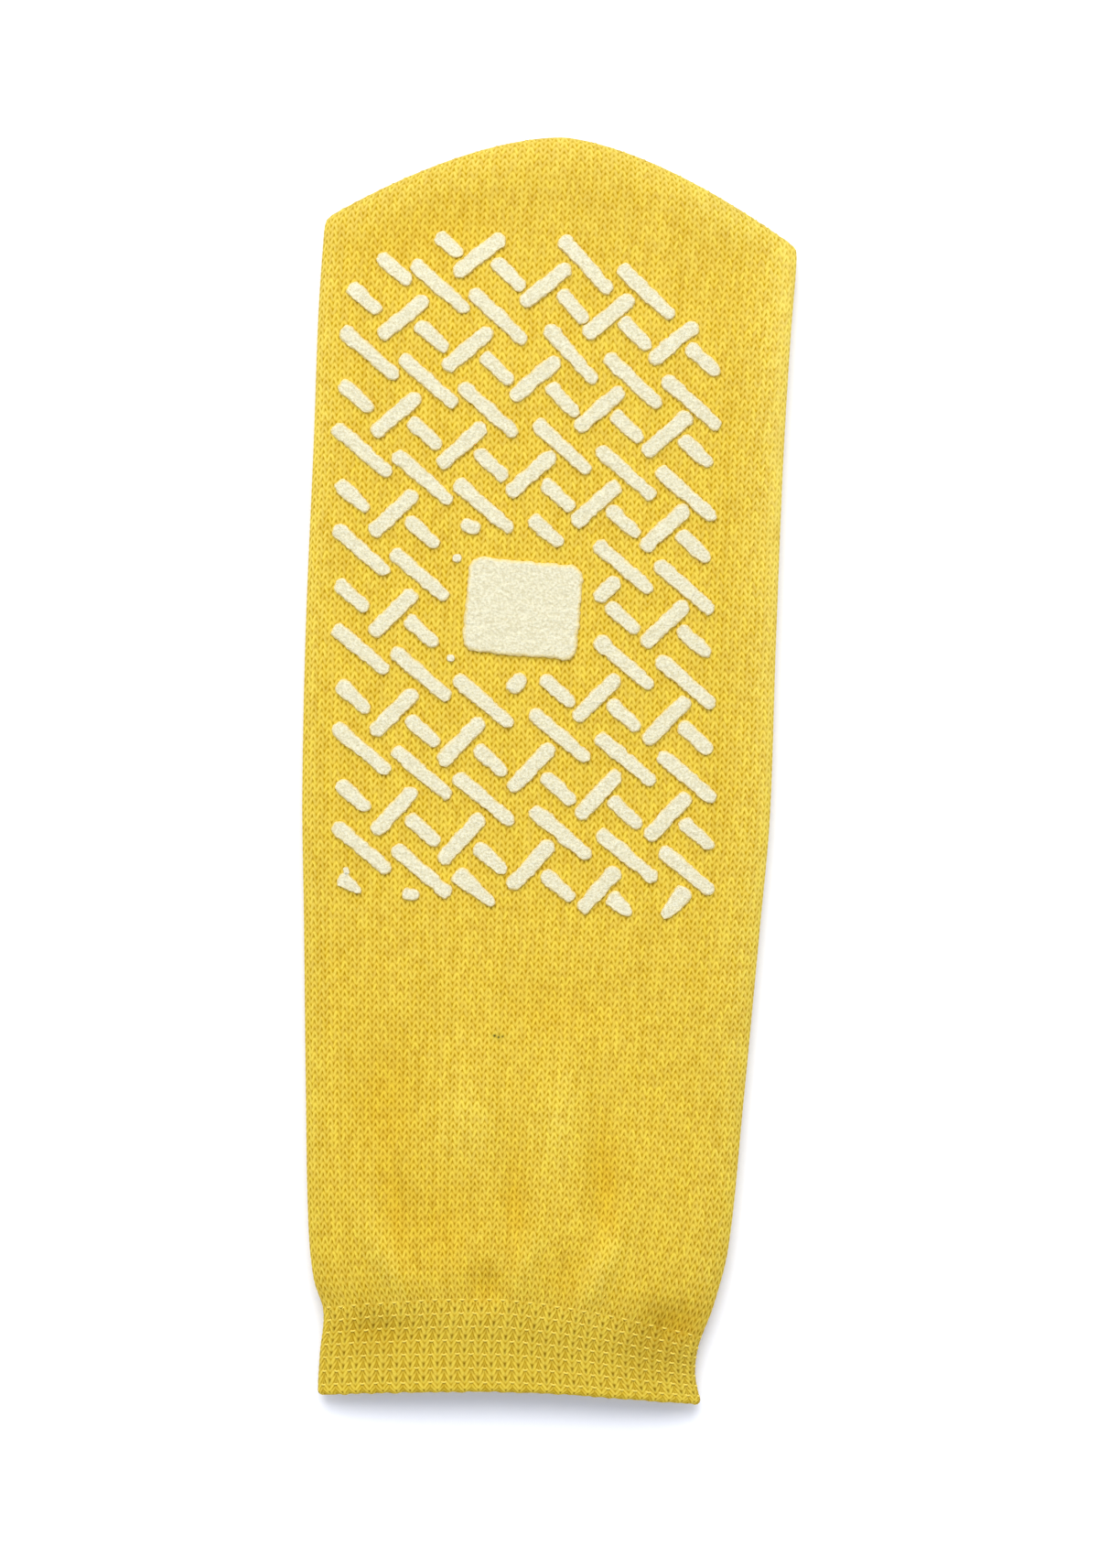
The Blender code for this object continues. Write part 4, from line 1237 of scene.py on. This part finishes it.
def foam_material(name):
    """Puff printing ink, blown up by heat into a dry foam: cream white, dull and pitted like a crumb, with
    painted yellow light, bounced from the yarn, on its edge."""
    made, tree, shader = new_material(name)
    position = add(tree, "TexCoord").outputs["Object"]
    settings = {"Vector": position, "Scale": 1 / (GRAIN_SIZE * MM), "Detail": 2.0}
    crumb = add(tree, "TexNoise", settings).outputs["Fac"]
    pits = add(tree, "TexVoronoi", {"Vector": position, "Scale": 1 / (PIT_SIZE * MM)}).outputs["Distance"]
    tone = add(tree, "MapRange", {"Value": crumb, **GRAIN_TONE})
    ink = add(tree, "MixRGB", {"Fac": tone, "Color1": colour("#C9C09D"), "Color2": colour("#DDD7B9")})
    # Painted yellow light bounced from the yarn, at the edge of the foam.
    thin = add(tree, "Attribute", attribute_name="thin").outputs["Fac"]
    thin = add(tree, "Math", {0: thin, 1: EDGE_BOUNCE_TINT}, operation="MULTIPLY")
    ink = add(tree, "MixRGB", {"Fac": thin, "Color1": ink, "Color2": colour("#E2C455")})
    rough = add(tree, "Math", {0: pits, 1: 0.6, 2: crumb}, operation="MULTIPLY_ADD")
    bump = add(tree, "Bump", {"Height": rough, "Strength": 0.9, "Distance": GRAIN_DEPTH * MM})
    fill(tree, shader, {
        "Base Color": ink,
        "Normal": bump,
        "Roughness": 0.88,
        "Specular IOR Level": 0.15,
        "Subsurface Weight": 0.5,
        "Subsurface Radius": (1.0, 0.9, 0.7),
        "Subsurface Scale": FOAM_GLOW * MM,
    })
    return made


def floor_material(name):
    """Matt white paper sweep with a very faint tooth."""
    made, tree, shader = new_material(name)
    position = add(tree, "TexCoord").outputs["Object"]
    settings = {"Vector": position, "Scale": 1 / (PAPER_TOOTH * MM), "Detail": 2.0}
    tooth = add(tree, "TexNoise", settings).outputs["Fac"]
    paper = add(tree, "MixRGB", {"Fac": tooth, "Color1": colour("#F6F6F7"), "Color2": colour("#F9F9FA")})
    fill(tree, shader, {"Base Color": paper, "Roughness": 0.9, "Specular IOR Level": 0.1})
    return made


# Studio

def studio():
    """Plain pale floor, soft light from over the toe, and the camera straight above the sock."""
    bpy.ops.object.select_all(action="DESELECT")
    bpy.ops.mesh.primitive_plane_add(size=6.0)
    floor = bpy.context.active_object
    floor.name = "studio_floor"
    floor.data.materials.append(floor_material("white_paper_sweep"))

    world = bpy.data.worlds.new("soft_white_room")
    world.use_nodes = True
    room = world.node_tree
    fill(room, room.nodes["Background"], {"Color": colour("#EAF0FF"), "Strength": 0.90})
    bpy.context.scene.world = world

    lamp = bpy.data.lights.new("soft_key", "AREA")
    lamp.shape = "DISK"
    lamp.size = 2.0
    lamp.energy = 54.0
    key = bpy.data.objects.new("soft_key", lamp)
    key.location = (-0.2, 1.3, 2.0)
    aim = Vector((0.0, 0.0, 0.0)) - key.location
    key.rotation_euler = aim.to_track_quat("-Z", "Y").to_euler()
    bpy.context.collection.objects.link(key)

    lens = bpy.data.cameras.new("portrait")
    lens.lens = 200.0
    lens.sensor_width = 36.0
    lens.clip_start = 0.01
    camera = bpy.data.objects.new("portrait", lens)
    aim_x, aim_y = place_of_pixel(AIM_PIXEL)
    distance = PHOTO_HEIGHT * PIXEL * lens.lens / lens.sensor_width
    camera.location = (aim_x * MM, aim_y * MM, (distance + SOCK_MIDDLE) * MM)
    camera.rotation_euler = (0.0, 0.0, SOCK_TURN)
    bpy.context.collection.objects.link(camera)
    bpy.context.scene.camera = camera
    bpy.context.scene.view_settings.view_transform = "Standard"


yarn = knit_material("brushed_acrylic_knit")
yarn_below = knit_material("brushed_acrylic_knit_below", STITCH_BUMP)
yarn_inside = lining_material("purl_side_of_knit")
foam = foam_material("puffed_foam_print")
elastic = elastic_material("covered_elastic")

sock = sock_piece([yarn, yarn_below, yarn_inside])
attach(sock, "root")
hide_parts("sock_tube")

tread = tread_pieces(foam)
replaced = {
    "long": [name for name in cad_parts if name.startswith("tread_long")],
    "slash": [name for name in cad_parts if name.startswith("tread_weave")],
    "short": [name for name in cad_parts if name.startswith("tread_short")],
    "pad": ["tread_pad"],
}
for kind, piece in tread.items():
    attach(piece, "root")
    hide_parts(*replaced[kind])

threads = elastic_piece(elastic)
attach(threads, "root")

studio()
